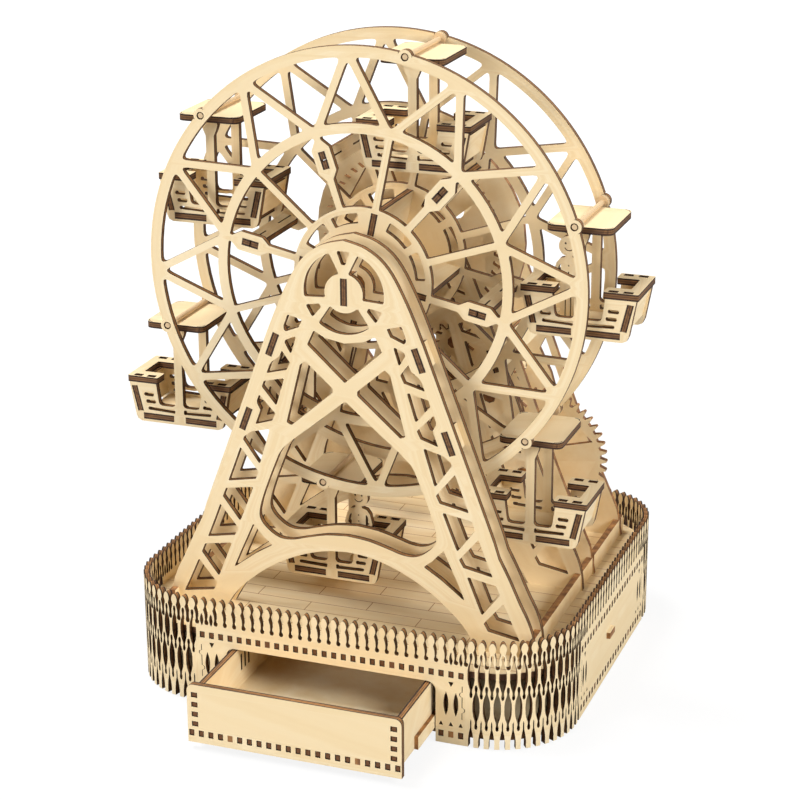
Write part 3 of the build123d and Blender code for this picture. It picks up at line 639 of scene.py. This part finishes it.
SLOT_PLAY = 0.2
LEAN_ANGLE = degrees(atan2(RAIL_LEAN, 1))
CLIPS = ((-1, 166.5), (1, 166.5), (-1, 130.5), (1, 130.5))
SPACERS = ((-1, 143.0), (1, 143.0), (-1, 100.0))
CLIP_LENGTH = 11.0
CLIP_INSET = 1.2
EAR_REACH = 3.2
EAR_HALF = 8.5
EAR_SLOPE = 2.4
NO_SLOT = 99.0
RAIL_STEP = 1.4
BEARING_HALF_HEIGHT = 6.0


def rail_edge(z):
    return SHOULDER[0] + (SHOULDER[1] - z) * RAIL_LEAN


def outer_rail(z):
    flare = max(0.0, FLARE_TOP - z)
    return rail_edge(z) - RAIL_WIDTH + flare * flare * FLARE_CURVE


def inner_rail(z):
    width, height = INNER_BEND
    if z > height:
        return width - (z - height) * INNER_LEANS[0]
    return width + (height - z) * INNER_LEANS[1]


def tower_edge():
    half = spline_points([(0, 216.3), (10.6, 213.2), (20, 205.5), (28.4, 190.5), SHOULDER], 5)
    half += [(rail_edge(FLARE_TOP), FLARE_TOP)]
    half += spline_points([(70.4, 80), (75, 71), (80, 60), (83.3, 53.5), (85.6, 47.5),
                           (FOOT_HALF - 0.6, 42), (FOOT_HALF, DECK_TOP)], 3)
    arch = spline_points([(61, DECK_TOP), (56, 43.6), (50, 50.5), (40, 58.9), (30, 65),
                          (20, 69.4), (10, 72.2), (0, 73.2)], 3)
    return both_halves(half + arch)


def ear(z, side, slots):
    """How far a rail's inner edge bulges out round its slots at this height."""
    nearest = min([abs(z - place) for slot_side, place in slots if slot_side == side] + [NO_SLOT])
    return EAR_REACH * max(0.0, min(1.0, EAR_SLOPE * (1 - nearest / EAR_HALF)))


def along_rail(start, end, side, slots):
    """Inner edge of an outer rail between two heights, with its ears."""
    steps = max(1, round(abs(end - start) / RAIL_STEP))
    heights = [start + (end - start) * step / steps for step in range(steps + 1)]
    return [(outer_rail(z) - ear(z, side, slots), z) for z in heights]


def truss_loops(slots):
    """Two windows per bay and rail, parted by a bar that rises outwards."""
    loops = []
    low = LOWEST_BAR
    for index, height in enumerate(BAYS):
        high = low + height
        apex = low + APEX_SHARE * height - APEX_DROP
        foot = low + BAR_WIDTH / 2
        corner = foot + LOWER_CORNER_RISE
        top, shoulder = high - UPPER_DROPS[0], high - UPPER_DROPS[1]
        upper_foot = low + UPPER_FOOT_RISE
        for side in (-1, 1):
            lower = [(inner_rail(foot), foot), (inner_rail(corner) - WINDOW_OVERLAP, corner)]
            lower += along_rail(apex, low - WINDOW_OVERLAP, side, slots)
            upper = [(inner_rail(top), top)]
            upper += along_rail(shoulder, apex + APEX_RISE, side, slots)
            upper.append((inner_rail(upper_foot), upper_foot))
            for window in [lower, upper] if index < len(BAYS) - 1 else [lower]:
                loops.append(rounded([(side * u, v) for u, v in window], 0.7, 3))
        low = high
    return loops


def head_loops():
    """Three ring windows and the small hole in each arm between them."""
    loops = []
    centre = (0, HUB - 0.5)
    for arm in HEAD_ARMS:
        after = arm + 120
        ring = arc(HEAD_RING, arm + HEAD_ARM_OUTER, after - HEAD_ARM_OUTER, 14, centre)
        ring += arc(HEAD_RING_INNER, after - HEAD_ARM_INNER, arm + HEAD_ARM_INNER, 8, centre)
        loops.append(rounded(ring, 1.0, 3))
        loops.append(rounded(moved(moved(HEAD_HOLE, (0, 0), arm), centre), 0.8, 3))
    return loops


def brace_loops():
    diamond = [(0, 170.6), (9, 172.2), (14.2, 175), (17.3, 168.3), (0, 152.6)]
    loops = [rounded(both_halves(diamond), 0.8, 3)]
    side = [(5.7, 149.4), (18.4, 160.6), (20.9, 158.6), (27.8, 131.2), (25.4, 130.2), (5.7, 147.4)]
    loops += [rounded(side, 0.8, 3), rounded(mirrored(side), 0.8, 3)]
    bell = [(0, 144.2), (17, 130), (25, 123.5), (30, 118.7)]
    bell += spline_points([(32, 115.5), (37, 103), (40.7, 92.5), (42, 86), (41, 82.3), (38, 78.9),
                           (34, 76.2), (30, 75.2), (25, 75.7), (20, 77.2), (10, 79.8),
                           (0, 80.8)], 3)
    loops.append(rounded(both_halves(bell), 1.2, 3))
    sliver = [(45.2, 80.6), (51.5, 66.6), (55.4, 57.6), (50, 61.8), (44, 66.4), (36, 71.4),
              (40, 74.6)]
    loops += [rounded(sliver, 0.5, 2), rounded(mirrored(sliver), 0.5, 2)]
    return loops


def on_rail(side, z):
    """Middle of a slot in an outer rail at a height."""
    return (side * (rail_edge(z) - RAIL_WIDTH / 2 - CLIP_INSET), z)


def rail_slots(places):
    return [rectangle(PLY + SLOT_PLAY, CLIP_LENGTH + SLOT_PLAY, on_rail(side, z), side * LEAN_ANGLE)
            for side, z in places]


bearing_slot = rectangle(PLY + SLOT_PLAY, 2 * BEARING_HALF_HEIGHT + SLOT_PLAY, (0, HUB))
axle_bore = circle(AXLE_BORE, 32, (0, HUB))
for label, depth, slots, middle_hole in (
    ("tower_front_outer", TOWER_DEPTHS[0], CLIPS, bearing_slot),
    ("tower_front_inner", TOWER_DEPTHS[1], CLIPS, axle_bore),
    ("tower_back_inner", BACK_TOWER_DEPTH, SPACERS, axle_bore),
):
    loops = [tower_edge()] + truss_loops(slots) + head_loops() + brace_loops() + rail_slots(slots)
    tower = sheet(f"cut_{label}", loops + [middle_hole], upright(depth), "base")
    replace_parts(tower, label)


# ---------------------------------------------------------------- flat bars
SLIT_HALF = 0.35


def bar_place(across, front, end, turn, centre):
    """Place of a flat bar that runs from front to back: local u is its width, v its depth."""
    along = Vector((cos(radians(turn)), 0, sin(radians(turn))))
    x, z = centre
    origin = Vector((x, (front + end) / 2 - DEPTH_CENTRE, z)) + along * across
    return placing(origin, along, Y_AXIS)


def split_bar(width, length, slit):
    """Flat bar whose two ends are slit, so that they spring in their slots."""
    half_width, half_length = width / 2, length / 2
    end = [(half_width, half_length), (SLIT_HALF, half_length), (SLIT_HALF, half_length - slit),
           (-SLIT_HALF, half_length - slit), (-SLIT_HALF, half_length), (-half_width, half_length)]
    other_end = [(-u, -v) for u, v in end]
    return [other_end[-1]] + end + other_end[:-1]


for name, places, front, end in (
    ("tower_clips", CLIPS, TOWER_DEPTHS[0], TOWER_DEPTHS[1] + PLY),
    ("gearbox_spacers", SPACERS, BACK_TOWER_DEPTH, OUTER_PLATE_DEPTH + PLY),
):
    for number, (side, z) in enumerate(places, start=1):
        place = bar_place(0, front, end, 90 + side * LEAN_ANGLE, on_rail(side, z))
        bar = sheet(f"{name}_bar_{number}", [rectangle(CLIP_LENGTH, end - front)], place, "base")
        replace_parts(bar, name)

bearing_length = TOWER_DEPTHS[1] - TOWER_DEPTHS[0]
bearing_middle = (TOWER_DEPTHS[0] + TOWER_DEPTHS[1]) / 2
bearing = sheet("bearing_sheet",
                [rectangle(bearing_length, 2 * BEARING_HALF_HEIGHT, (bearing_middle, HUB))],
                side_on(PLY / 2), "base")
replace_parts(bearing, "bearing_block")


# ---------------------------------------------------------------- rims
def on_circle(start, end, offset, radius):
    """Where the line from start to end, shifted sideways, meets a circle."""
    a, b = Vector(start), Vector(end)
    along = (b - a).normalized()
    side = Vector((-along.y, along.x)) * offset
    base = a + side
    half = base.dot(along)
    reach = -half + sqrt(max(0.0, half * half - base.length_squared + radius * radius))
    point = base + along * reach
    return (point.x, point.y)


def on_ray(start, end, offset, angle):
    """Where the line from start to end, shifted sideways, meets a ray from the centre."""
    a, b = Vector(start), Vector(end)
    along = (b - a).normalized()
    base = a + Vector((-along.y, along.x)) * offset
    ray = Vector(polar(1, angle))
    reach = (base.x * along.y - base.y * along.x) / (ray.x * along.y - ray.y * along.x)
    return tuple(ray * reach)


def polar(radius, angle):
    return (radius * cos(radians(angle)), radius * sin(radians(angle)))


RIM_RADIUS = 101.5
RIM_INNER = 96.6
RING_OUTER = 68.4
RING_INNER = 64.0
HUB_DISC = 32.0
HALF_SPOKE = 1.65
LUG = ((45.0, 1.6), (48.6, 4.3), (59.0, 4.3), (62.6, 1.6))
PIVOT_EYE = 3.2
PIVOT_EYE_ANGLE = 1.8
PIVOT_BORE = 1.75
CROSSBAR_RADIUS = 53.8
CROSSBAR_WIDTH = 7.6
CROSSBAR_SLIT = 17.0
CROSSBAR_PLAY = 0.3
SPIDER_TABS = (20.0, 30.0)
SPIDER_PLAY = 0.1
AXLE_RADIUS = 5.0
CURVED_SLOT_RADII = (24.6, 29.2)
CURVED_SLOT_ANGLES = (28, 62)
CURVED_SLOT_HALF = 13


def lattice_loops():
    """Windows of one half of a cabin's share of the rim, from an angle of 0 to 30 degrees."""
    node = (RING_OUTER - 3.0, 0.0)
    tip = polar(RIM_INNER + 3.0, 15)
    high = on_circle(node, tip, -HALF_SPOKE, RIM_INNER)
    edge = degrees(atan2(high[1], high[0]))
    outward = [on_ray(node, tip, -HALF_SPOKE, 0)] + arc(RIM_INNER, -edge, edge, 8)
    low = on_circle(node, tip, HALF_SPOKE, RING_OUTER)
    start = degrees(atan2(low[1], low[0]))
    inward = arc(RING_OUTER, start, 30 - start, 6) + [on_ray(node, tip, HALF_SPOKE, 15)]
    return rounded(outward, 1.6, 3), rounded(inward, 1.6, 3)


def spoke_window(lug_first):
    """Window between two spokes, one of which is widened round a crossbar's slot."""
    plain = [(HUB_DISC + 1, HALF_SPOKE - 0.15), (RING_INNER - 1, HALF_SPOKE - 0.15)]
    bumped = [plain[0], *LUG, plain[1]]
    lower_side, upper_side = (bumped, plain) if lug_first else (plain, bumped)
    start = degrees(atan2(HALF_SPOKE, RING_INNER))
    low_start = degrees(atan2(HALF_SPOKE, HUB_DISC))
    window = lower_side + arc(RING_INNER, start, 30 - start, 6)
    window += moved([(r, -w) for r, w in reversed(upper_side)], (0, 0), 30)
    window += arc(HUB_DISC, 30 - low_start, low_start, 5)
    return rounded(window, 1.0, 3)


def rim_loops():
    outer = []
    for index in range(CABINS):
        angle = FIRST_ANGLE + 60 * index
        outer += arc(RIM_RADIUS, angle + PIVOT_EYE_ANGLE, angle + (60 - PIVOT_EYE_ANGLE), 24)
        outer += moved(arc(PIVOT_EYE, -80, 80, 8), polar(PIVOT_RADIUS, angle + 60), angle + 60)
    loops = [outer]
    for index in range(2 * CABINS):
        for window in (*lattice_loops(), spoke_window(index % 2 == 1)):
            loops.append(moved(window, (0, 0), FIRST_ANGLE + 30 * index))
    for index in range(CABINS):
        angle = FIRST_ANGLE + 60 * index
        loops.append(circle(PIVOT_BORE, 16, polar(PIVOT_RADIUS, angle)))
        loops.append(rectangle(CROSSBAR_WIDTH + CROSSBAR_PLAY, PLY + CROSSBAR_PLAY,
                               polar(CROSSBAR_RADIUS, angle + 30), angle + 30))
    tab_start, tab_end = SPIDER_TABS
    near, far = CURVED_SLOT_RADII
    for index in range(4):
        angle = FIRST_ANGLE + 90 * index
        loops.append(rectangle(tab_end - tab_start + SPIDER_PLAY, PLY + SPIDER_PLAY,
                               polar((tab_start + tab_end) / 2, angle), angle))
        for middle in CURVED_SLOT_ANGLES:
            first, last = middle - CURVED_SLOT_HALF, middle + CURVED_SLOT_HALF
            slot = arc(far, first, last, 8) + arc(near, last, first, 8)
            loops.append(moved(rounded(slot, 1.9, 4), (0, 0), angle))
    loops.append(circle(AXLE_RADIUS, 32))
    return loops


for label, depth in (("rim_front", 0.0), ("rim_back", RIM_SPACING)):
    rim = sheet(f"cut_{label}", rim_loops(), upright(depth, 0, HUB), "wheel")
    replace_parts(rim, label)

rim_end = RIM_SPACING + PLY
crossbar_loop = split_bar(CROSSBAR_WIDTH, rim_end, CROSSBAR_SLIT)
for index in range(CABINS):
    place = bar_place(CROSSBAR_RADIUS, 0, rim_end, FIRST_ANGLE + 30 + 60 * index, (0, HUB))
    bar = sheet(f"crossbar_{index + 1}", [crossbar_loop], place, "wheel")
    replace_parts(bar, "crossbars")
inner, outer, half = RIM_SPACING / 2 - PLY / 2, SPIDER_TABS[1], rim_end / 2
spider_loop = [(AXLE_RADIUS, -inner), (SPIDER_TABS[0], -inner), (SPIDER_TABS[0], -half),
               (outer, -half), (outer, half), (SPIDER_TABS[0], half), (SPIDER_TABS[0], inner),
               (AXLE_RADIUS, inner)]
for index in range(4):
    place = bar_place(0, 0, rim_end, FIRST_ANGLE + 90 * index, (0, HUB))
    bar = sheet(f"spider_arm_{index + 1}", [spider_loop], place, "wheel")
    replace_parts(bar, "hub_spider")


# ---------------------------------------------------------------- cabins
# Sizes across a cabin are counted from its middle, heights from its stick.
SIDE_FRONT = 9.0
SIDE_BACK = RIM_SPACING + PLY - SIDE_FRONT - PLY
TUB_DEPTH = SIDE_BACK + PLY - SIDE_FRONT
ROOF_UNDER = -4.48
FLOOR_UNDER = -50.1
FLOOR_TOP = FLOOR_UNDER + PLY
FLOOR_HALF = 18.5
FLOOR_TAB_START = 3
FLOOR_SLOT_WIDTH = 15.6
FLOOR_SLOT_MIDDLE = 10.75
SMALL_SLOT = (4.9, 1.7)
SMALL_SLOT_PLACES = ((15.4, -37.9), (14.5, -41.3))
TUB_DROP = 32.5
END_TOP = (24.2, -34.3)
END_LOW = (21.4, -46.3)
RAIL_START = 10.7
RAIL_REACH = 26.0
RAIL_ARM = 7.5
RAIL_INSIDE = 21.0
RAIL_TABS = (14.6, 21.2)
RAIL_TAB_INSET = 2.0
RAIL_HOLE = (4.2, 2.8)
RAIL_TAB = (3.4, PLY - 1.0)
RAIL_TAB_HEIGHT = 2.0
ROOF_WIDTH = 29.0
ROOF_DEPTH = 34.0
ROOF_CUT = (10.6, 13.1)
ROOF_CUT_RADII = (3.2, 3.6)
PIN_RADIUS = 1.2
PIN_SHORTER = 0.6
WASHER_RADIUS = 2.9
WASHER_THICKNESS = 1.5
WASHER_PLAY = 0.4
pivots = []
for index in range(CABINS):
    turn = radians(FIRST_ANGLE - 60 * index)
    pivots.append((PIVOT_RADIUS * cos(turn), HUB + PIVOT_RADIUS * sin(turn)))


def cabin_side_loops():
    """Side plate: a post from the roof down to the tub, with the slots of the tub's sheets."""
    half = [(0, ROOF_UNDER), (3.6, ROOF_UNDER), (3.9, ROOF_UNDER - 1.4), (3.2, ROOF_UNDER - 3.6),
            (1.95, ROOF_UNDER - 6.4), (1.95, -41.2), (2.5, -42.2), (3.6, -42.7), (8.6, -42.7),
            (9.9, -42.2), (10.5, -41.0), (11.6, -TUB_DROP), (25.2, -TUB_DROP), (22.3, -48.4),
            (21.4, -50.4), (19.4, -51.3), (0, -51.3)]
    loops = [both_halves(half)]
    for side in (-1, 1):
        floor_slot = rectangle(FLOOR_SLOT_WIDTH, PLY + 0.1,
                               (side * FLOOR_SLOT_MIDDLE, FLOOR_UNDER + PLY / 2))
        end_slot = [(side * (END_TOP[0] - PLY), END_TOP[1]), (side * END_TOP[0], END_TOP[1]),
                    (side * END_LOW[0], END_LOW[1]), (side * (END_LOW[0] - PLY), END_LOW[1])]
        long_slot = [(2.2, -46.0), (4.0, -45.8), (16.0, -45.4), (16.0, -43.9), (5.0, -44.0),
                     (3.6, -43.7), (2.2, -43.7)]
        loops += [floor_slot, end_slot, rounded([(side * u, v) for u, v in long_slot], 0.7, 3)]
        for u, v in SMALL_SLOT_PLACES:
            loops.append(rounded(rectangle(*SMALL_SLOT, (side * u, v)), 0.8, 3))
    return loops


def rail_loops(side):
    """C-shaped rail on top of one end of the tub, with the holes of the side plates' tabs."""
    half = TUB_DEPTH / 2
    outer = [(RAIL_START, -half), (RAIL_REACH, -half), (RAIL_REACH, half), (RAIL_START, half),
             (RAIL_START, half - RAIL_ARM), (RAIL_INSIDE, half - RAIL_ARM),
             (RAIL_INSIDE, RAIL_ARM - half), (RAIL_START, RAIL_ARM - half)]
    holes = [rectangle(*RAIL_HOLE, (side * u, end * (half - RAIL_TAB_INSET)))
             for end in (-1, 1) for u in RAIL_TABS]
    return [rounded([(side * u, v) for u, v in outer], 0.8, 3)] + holes


def tub_end(side):
    """One sloping end panel of the tub."""
    top, low = Vector((END_TOP[0], 0, END_TOP[1])), Vector((END_LOW[0], 0, END_LOW[1]))
    slope = (top - low).normalized()
    slope.x *= side
    centre = (top + low) / 2
    centre.x = (centre.x - PLY / 2) * side
    mesh = sheet_mesh("end", [rectangle(TUB_DEPTH, (top - low).length)], PLY * 0.97)
    return mesh, placing(centre, Y_AXIS, slope)


def cabin_parts():
    """Every sheet of one cabin and its place, with the stick's middle at the origin."""
    side_plate = sheet_mesh("side", cabin_side_loops(), PLY)
    parts = [(side_plate.copy(), standing((0, depth + PLY / 2 - RIM_SPACING / 2 - PLY / 2, 0)))
             for depth in (SIDE_FRONT, SIDE_BACK)]
    half, inner = TUB_DEPTH / 2, (SIDE_BACK - SIDE_FRONT - PLY) / 2
    start = FLOOR_TAB_START
    floor = [(-FLOOR_HALF, -half), (-start, -half), (-start, -inner), (start, -inner),
             (start, -half), (FLOOR_HALF, -half), (FLOOR_HALF, half), (start, half),
             (start, inner), (-start, inner), (-start, half), (-FLOOR_HALF, half)]
    parts.append((sheet_mesh("floor", [floor], PLY), lying((0, 0, FLOOR_UNDER + PLY / 2))))
    rail_middle = -TUB_DROP + PLY / 2
    for side in (-1, 1):
        parts.append(tub_end(side))
        parts.append((sheet_mesh("rail", rail_loops(side), PLY), lying((0, 0, rail_middle))))
        for end in (-1, 1):
            for u in RAIL_TABS:
                spot = (side * u, end * (half - RAIL_TAB_INSET), rail_middle - 0.5)
                tab = sheet_mesh("tab", [rectangle(*RAIL_TAB)], RAIL_TAB_HEIGHT)
                parts.append((tab, standing(spot)))
    roof = [rounded(rectangle(ROOF_WIDTH, ROOF_DEPTH), 4.0, 6)]
    cut = arc(ROOF_CUT_RADII[1], 8, 82, 6, ROOF_CUT) + arc(ROOF_CUT_RADII[0], 82, 8, 6, ROOF_CUT)
    roof += [[(side * u, end * v) for u, v in cut] for side in (-1, 1) for end in (-1, 1)]
    parts.append((sheet_mesh("roof", roof, PLY), lying((0, 0, ROOF_UNDER + PLY / 2))))
    return parts


def stick_parts():
    """The stick that a cabin hangs on, with a washer inside each rim."""
    parts = [(sheet_mesh("pin", [circle(PIN_RADIUS, 20)], RIM_SPACING + PLY - PIN_SHORTER),
              standing((0, 0, 0)))]
    reach = RIM_SPACING / 2 - PLY / 2 - WASHER_PLAY - WASHER_THICKNESS / 2
    for end in (-1, 1):
        washer = sheet_mesh("washer", [circle(WASHER_RADIUS, 20)], WASHER_THICKNESS)
        parts.append((washer, standing((0, end * reach, 0))))
    return parts


def joined(name, parts, face, edge):
    """One mesh from several, each put in its place."""
    whole = bmesh.new()
    for mesh, place in parts:
        mesh.transform(place)
        whole.from_mesh(mesh)
    result = bpy.data.meshes.new(name)
    result.materials.append(face)
    result.materials.append(edge)
    whole.to_mesh(result)
    whole.free()
    result.update()
    return result


cabin_mesh = joined("cabin", cabin_parts(), FACE, EDGE)
pin_mesh = joined("cabin_pin", stick_parts(), STICK_WOOD, STICK_WOOD)
wheel_middle = ((RIM_SPACING + PLY) / 2 - DEPTH_CENTRE) * MM
for number, (x, z) in enumerate(pivots, start=1):
    body = f"cabin_{number}"
    shell = show(f"{body}_sheets", cabin_mesh, body, (x * MM, wheel_middle, z * MM))
    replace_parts(shell, f"{body}_sides", f"{body}_tub")
    pin = show(f"{body}_pin", pin_mesh, body, (x * MM, wheel_middle, z * MM))
    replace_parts(pin, f"{body}_top")


# ---------------------------------------------------------------- passengers
HEAD_RADIUS = 4.6
HEAD_HEIGHT = 32.2
BUTTON_HEIGHTS = (17.5, 20.5, 23.5)
BUTTON_RADIUS = 0.35
EYE_PLACE = (1.6, 33.4)
EYE_RADIUS = 0.45
SMILE_CENTRE = (0, 32.3)
SMILE_RADII = (1.9, 2.3)
STANDS_ASIDE = 8.4


def figure_loops():
    """Standing figure with its hands on its hips, drawn from the soles up."""
    half = [(0, 0), (1.0, 0), (1.0, 10.5), (1.4, 10.5), (1.4, 0), (4.6, 0), (4.6, 2.0), (3.6, 2.8),
            (3.9, 13.0), (3.7, 16.5), (5.2, 16.2), (6.8, 19.6), (5.6, 24.4), (3.9, 26.6),
            (1.7, 27.2), (1.5, 28.2)]
    head = arc(HEAD_RADIUS, -62, 90, 10, (0, HEAD_HEIGHT))
    elbow = [(3.5, 18.4), (5.2, 19.6), (4.5, 23.0), (3.5, 24.4)]
    loops = [rounded(both_halves(half + head), 0.4, 2)]
    loops += [rounded(elbow, 0.3, 2), rounded(mirrored(elbow), 0.3, 2)]
    loops += [circle(BUTTON_RADIUS, 8, (0, height)) for height in BUTTON_HEIGHTS]
    loops += [circle(EYE_RADIUS, 8, (side * EYE_PLACE[0], EYE_PLACE[1])) for side in (-1, 1)]
    loops.append(arc(SMILE_RADII[1], 205, 335, 8, SMILE_CENTRE)
                 + arc(SMILE_RADII[0], 335, 205, 8, SMILE_CENTRE))
    return loops


for label, number, side in (("passenger_high", 2, -1), ("passenger_low", 4, 1)):
    x, z = pivots[number - 1]
    place = upright((RIM_SPACING + PLY) / 2 - PLY / 2, x + side * STANDS_ASIDE, z + FLOOR_TOP)
    figure = sheet(f"figure_{label}", figure_loops(), place, f"cabin_{number}")
    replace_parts(figure, label)


# ---------------------------------------------------------------- drawer
DRAWER_SIDE = 47.5
DRAWER_LOW = 6.3
DRAWER_SIDE_TOP = 27.9
DRAWER_END = DRAWER_FACE + 87.0
DRAWER_CORNER = 3.0
FLOOR_TABS = 22
SIDE_TABS = 4
SIDE_TAB_LOW = 12.2
SIDE_TAB_PITCH = 4.65
TAB_END_SHARE = 0.7
SIDE_SLOT_DEPTHS = (-40.5, -36.5, -32.5)


def drawer_front_loops():
    """Bare front with the holes of the floor's and the sides' tabs."""
    low, high = LOW_PLATE + 0.2, DRAWER_TOP
    corner_u, corner_v = DRAWER_HALF - DRAWER_CORNER, high - DRAWER_CORNER
    outer = [(-DRAWER_HALF, low), (DRAWER_HALF, low)]
    outer += arc(DRAWER_CORNER, 0, 90, 6, (corner_u, corner_v))
    outer += arc(DRAWER_CORNER, 90, 180, 6, (-corner_u, corner_v))
    holes = [rectangle(TAB_WIDTH, PLY, (PITCH * (step + 0.5), DRAWER_LOW + PLY / 2))
             for step in range(-FLOOR_TABS // 2, FLOOR_TABS // 2)]
    holes += [rectangle(PLY, TAB_WIDTH, (side * (DRAWER_SIDE - PLY / 2),
                                         SIDE_TAB_LOW + SIDE_TAB_PITCH * step))
              for side in (-1, 1) for step in range(SIDE_TABS)]
    return outer, holes


def drawn_in(loop, share):
    """The loop scaled about its middle."""
    cu = sum(u for u, v in loop) / len(loop)
    cv = sum(v for u, v in loop) / len(loop)
    return [((u - cu) * share + cu, (v - cv) * share + cv) for u, v in loop]


outer, holes = drawer_front_loops()
drawer_face = sheet("drawer_front_panel", [outer] + holes, upright(DRAWER_FACE), "drawer")
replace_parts(drawer_face, "drawer_front")
darken(sheet("drawer_tab_ends", [drawn_in(hole, TAB_END_SHARE) for hole in holes],
             upright(DRAWER_FACE), "drawer", thickness=PLY - TAB_SUNK))

side_loop = [(DRAWER_FACE + PLY, DRAWER_LOW), (DRAWER_END, DRAWER_LOW),
             (DRAWER_END, DRAWER_SIDE_TOP), (DRAWER_FACE + PLY, DRAWER_SIDE_TOP)]
side_slots = [rectangle(1.5, 8.0, (depth, 20.5)) for depth in SIDE_SLOT_DEPTHS]
for label, side in (("left", -1), ("right", 1)):
    panel = sheet(f"drawer_panel_{label}", [side_loop] + side_slots,
                  side_on(side * DRAWER_SIDE, side), "drawer")
    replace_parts(panel, f"drawer_side_{label}")


# ---------------------------------------------------------------- camera
AZIMUTH = radians(20.362)
ELEVATION = radians(19.759)
ROLL = radians(-0.287)
FOCAL_PIXELS = 2230.27
IMAGE_PIXELS = 800
SENSOR_WIDTH = 36
CLIP_END = 100
CAMERA_PLACE = Vector((338.31, -864.96 - DEPTH_CENTRE, 471.01)) * MM

back = Vector((sin(AZIMUTH) * cos(ELEVATION), -cos(AZIMUTH) * cos(ELEVATION), sin(ELEVATION)))
right = (-back).cross(Z_AXIS).normalized()
up = right.cross(-back)
camera_right = cos(ROLL) * right + sin(ROLL) * up
camera_up = -sin(ROLL) * right + cos(ROLL) * up
rows = [[camera_right[i], camera_up[i], back[i], CAMERA_PLACE[i]] for i in range(3)]
camera_data = bpy.data.cameras.new("camera")
camera_data.sensor_width = SENSOR_WIDTH
camera_data.lens = SENSOR_WIDTH * FOCAL_PIXELS / IMAGE_PIXELS
camera_data.clip_end = CLIP_END
camera = bpy.data.objects.new("camera", camera_data)
camera.matrix_world = Matrix(rows + [[0, 0, 0, 1]])
bpy.context.scene.collection.objects.link(camera)
bpy.context.scene.camera = camera


# ---------------------------------------------------------------- studio
# Name, place, height of the spot it looks at, size and power; in metres and watts.
LIGHTS = (
    ("key_right", (2.1, -0.9, 1.5), 0.12, 1.0, 50),
    ("fill_front", (-1.2, -2.4, 0.9), 0.15, 1.0, 35),
    ("top", (-0.9, 0.1, 2.2), 0, 1.0, 50),
    ("fill_back", (1.3, 2.3, 1.2), 0.12, 1.4, 17),
)
FLOOR_REACH = 12.0
FLOOR_DROP = 0.0003
FLOOR_GREY = (0.55, 0.55, 0.55)
FLOOR_GLOW = 1.15
WORLD_LIGHT = 0.08


def area_light(name, place, target_height, size, power):
    data = bpy.data.lights.new(name, "AREA")
    data.shape = "SQUARE"
    data.size = size
    data.energy = power
    light = bpy.data.objects.new(name, data)
    light.location = place
    aim = Vector((0, 0, target_height)) - Vector(place)
    light.rotation_euler = aim.to_track_quat("-Z", "Y").to_euler()
    bpy.context.scene.collection.objects.link(light)


def floor_material():
    """Pale floor that the camera sees as white, with a soft shadow near the toy."""
    looks = Looks("floor_white", 0.9)
    looks.coloured(FLOOR_GREY)
    glow = looks.add("Emission", {"Strength": FLOOR_GLOW})["Emission"]
    distance = looks.nodes.new("ShaderNodeVectorMath")
    distance.operation = "LENGTH"
    looks.feed(distance.inputs[0], looks.where("Object"))
    fade = looks.add("MapRange", {"Value": distance.outputs["Value"], "From Min": 0.25,
                                  "From Max": 0.8, "To Min": 0.75, "To Max": 1.0})["Result"]
    share = looks.math("MULTIPLY", looks.add("LightPath", {})["Is Camera Ray"], fade)
    blend = looks.add("MixShader", {"Fac": share, 1: looks.shader.outputs["BSDF"], 2: glow})
    looks.feed(looks.nodes["Material Output"].inputs["Surface"], blend["Shader"])
    return looks.material


for light in LIGHTS:
    area_light(*light)

floor_mesh = bpy.data.meshes.new("floor")
floor_mesh.from_pydata([(-FLOOR_REACH, -FLOOR_REACH, 0), (FLOOR_REACH, -FLOOR_REACH, 0),
                        (FLOOR_REACH, FLOOR_REACH, 0), (-FLOOR_REACH, FLOOR_REACH, 0)],
                       [], [(0, 1, 2, 3)])
floor = bpy.data.objects.new("floor", floor_mesh)
floor.location.z = -FLOOR_DROP
bpy.context.scene.collection.objects.link(floor)
floor_mesh.materials.append(floor_material())

world = bpy.data.worlds.new("white_studio")
bpy.context.scene.world = world
world.use_nodes = True
tree = world.node_tree
background = tree.nodes["Background"]
background.inputs["Color"].default_value = (1, 1, 1, 1)
background.inputs["Strength"].default_value = WORLD_LIGHT
to_camera = tree.nodes.new("ShaderNodeBackground")
to_camera.inputs["Strength"].default_value = 1.0
path = tree.nodes.new("ShaderNodeLightPath")
blend = tree.nodes.new("ShaderNodeMixShader")
tree.links.new(path.outputs["Is Camera Ray"], blend.inputs["Fac"])
tree.links.new(background.outputs["Background"], blend.inputs[1])
tree.links.new(to_camera.outputs["Background"], blend.inputs[2])
tree.links.new(blend.outputs["Shader"], tree.nodes["World Output"].inputs["Surface"])

bpy.context.scene.view_settings.view_transform = "Standard"
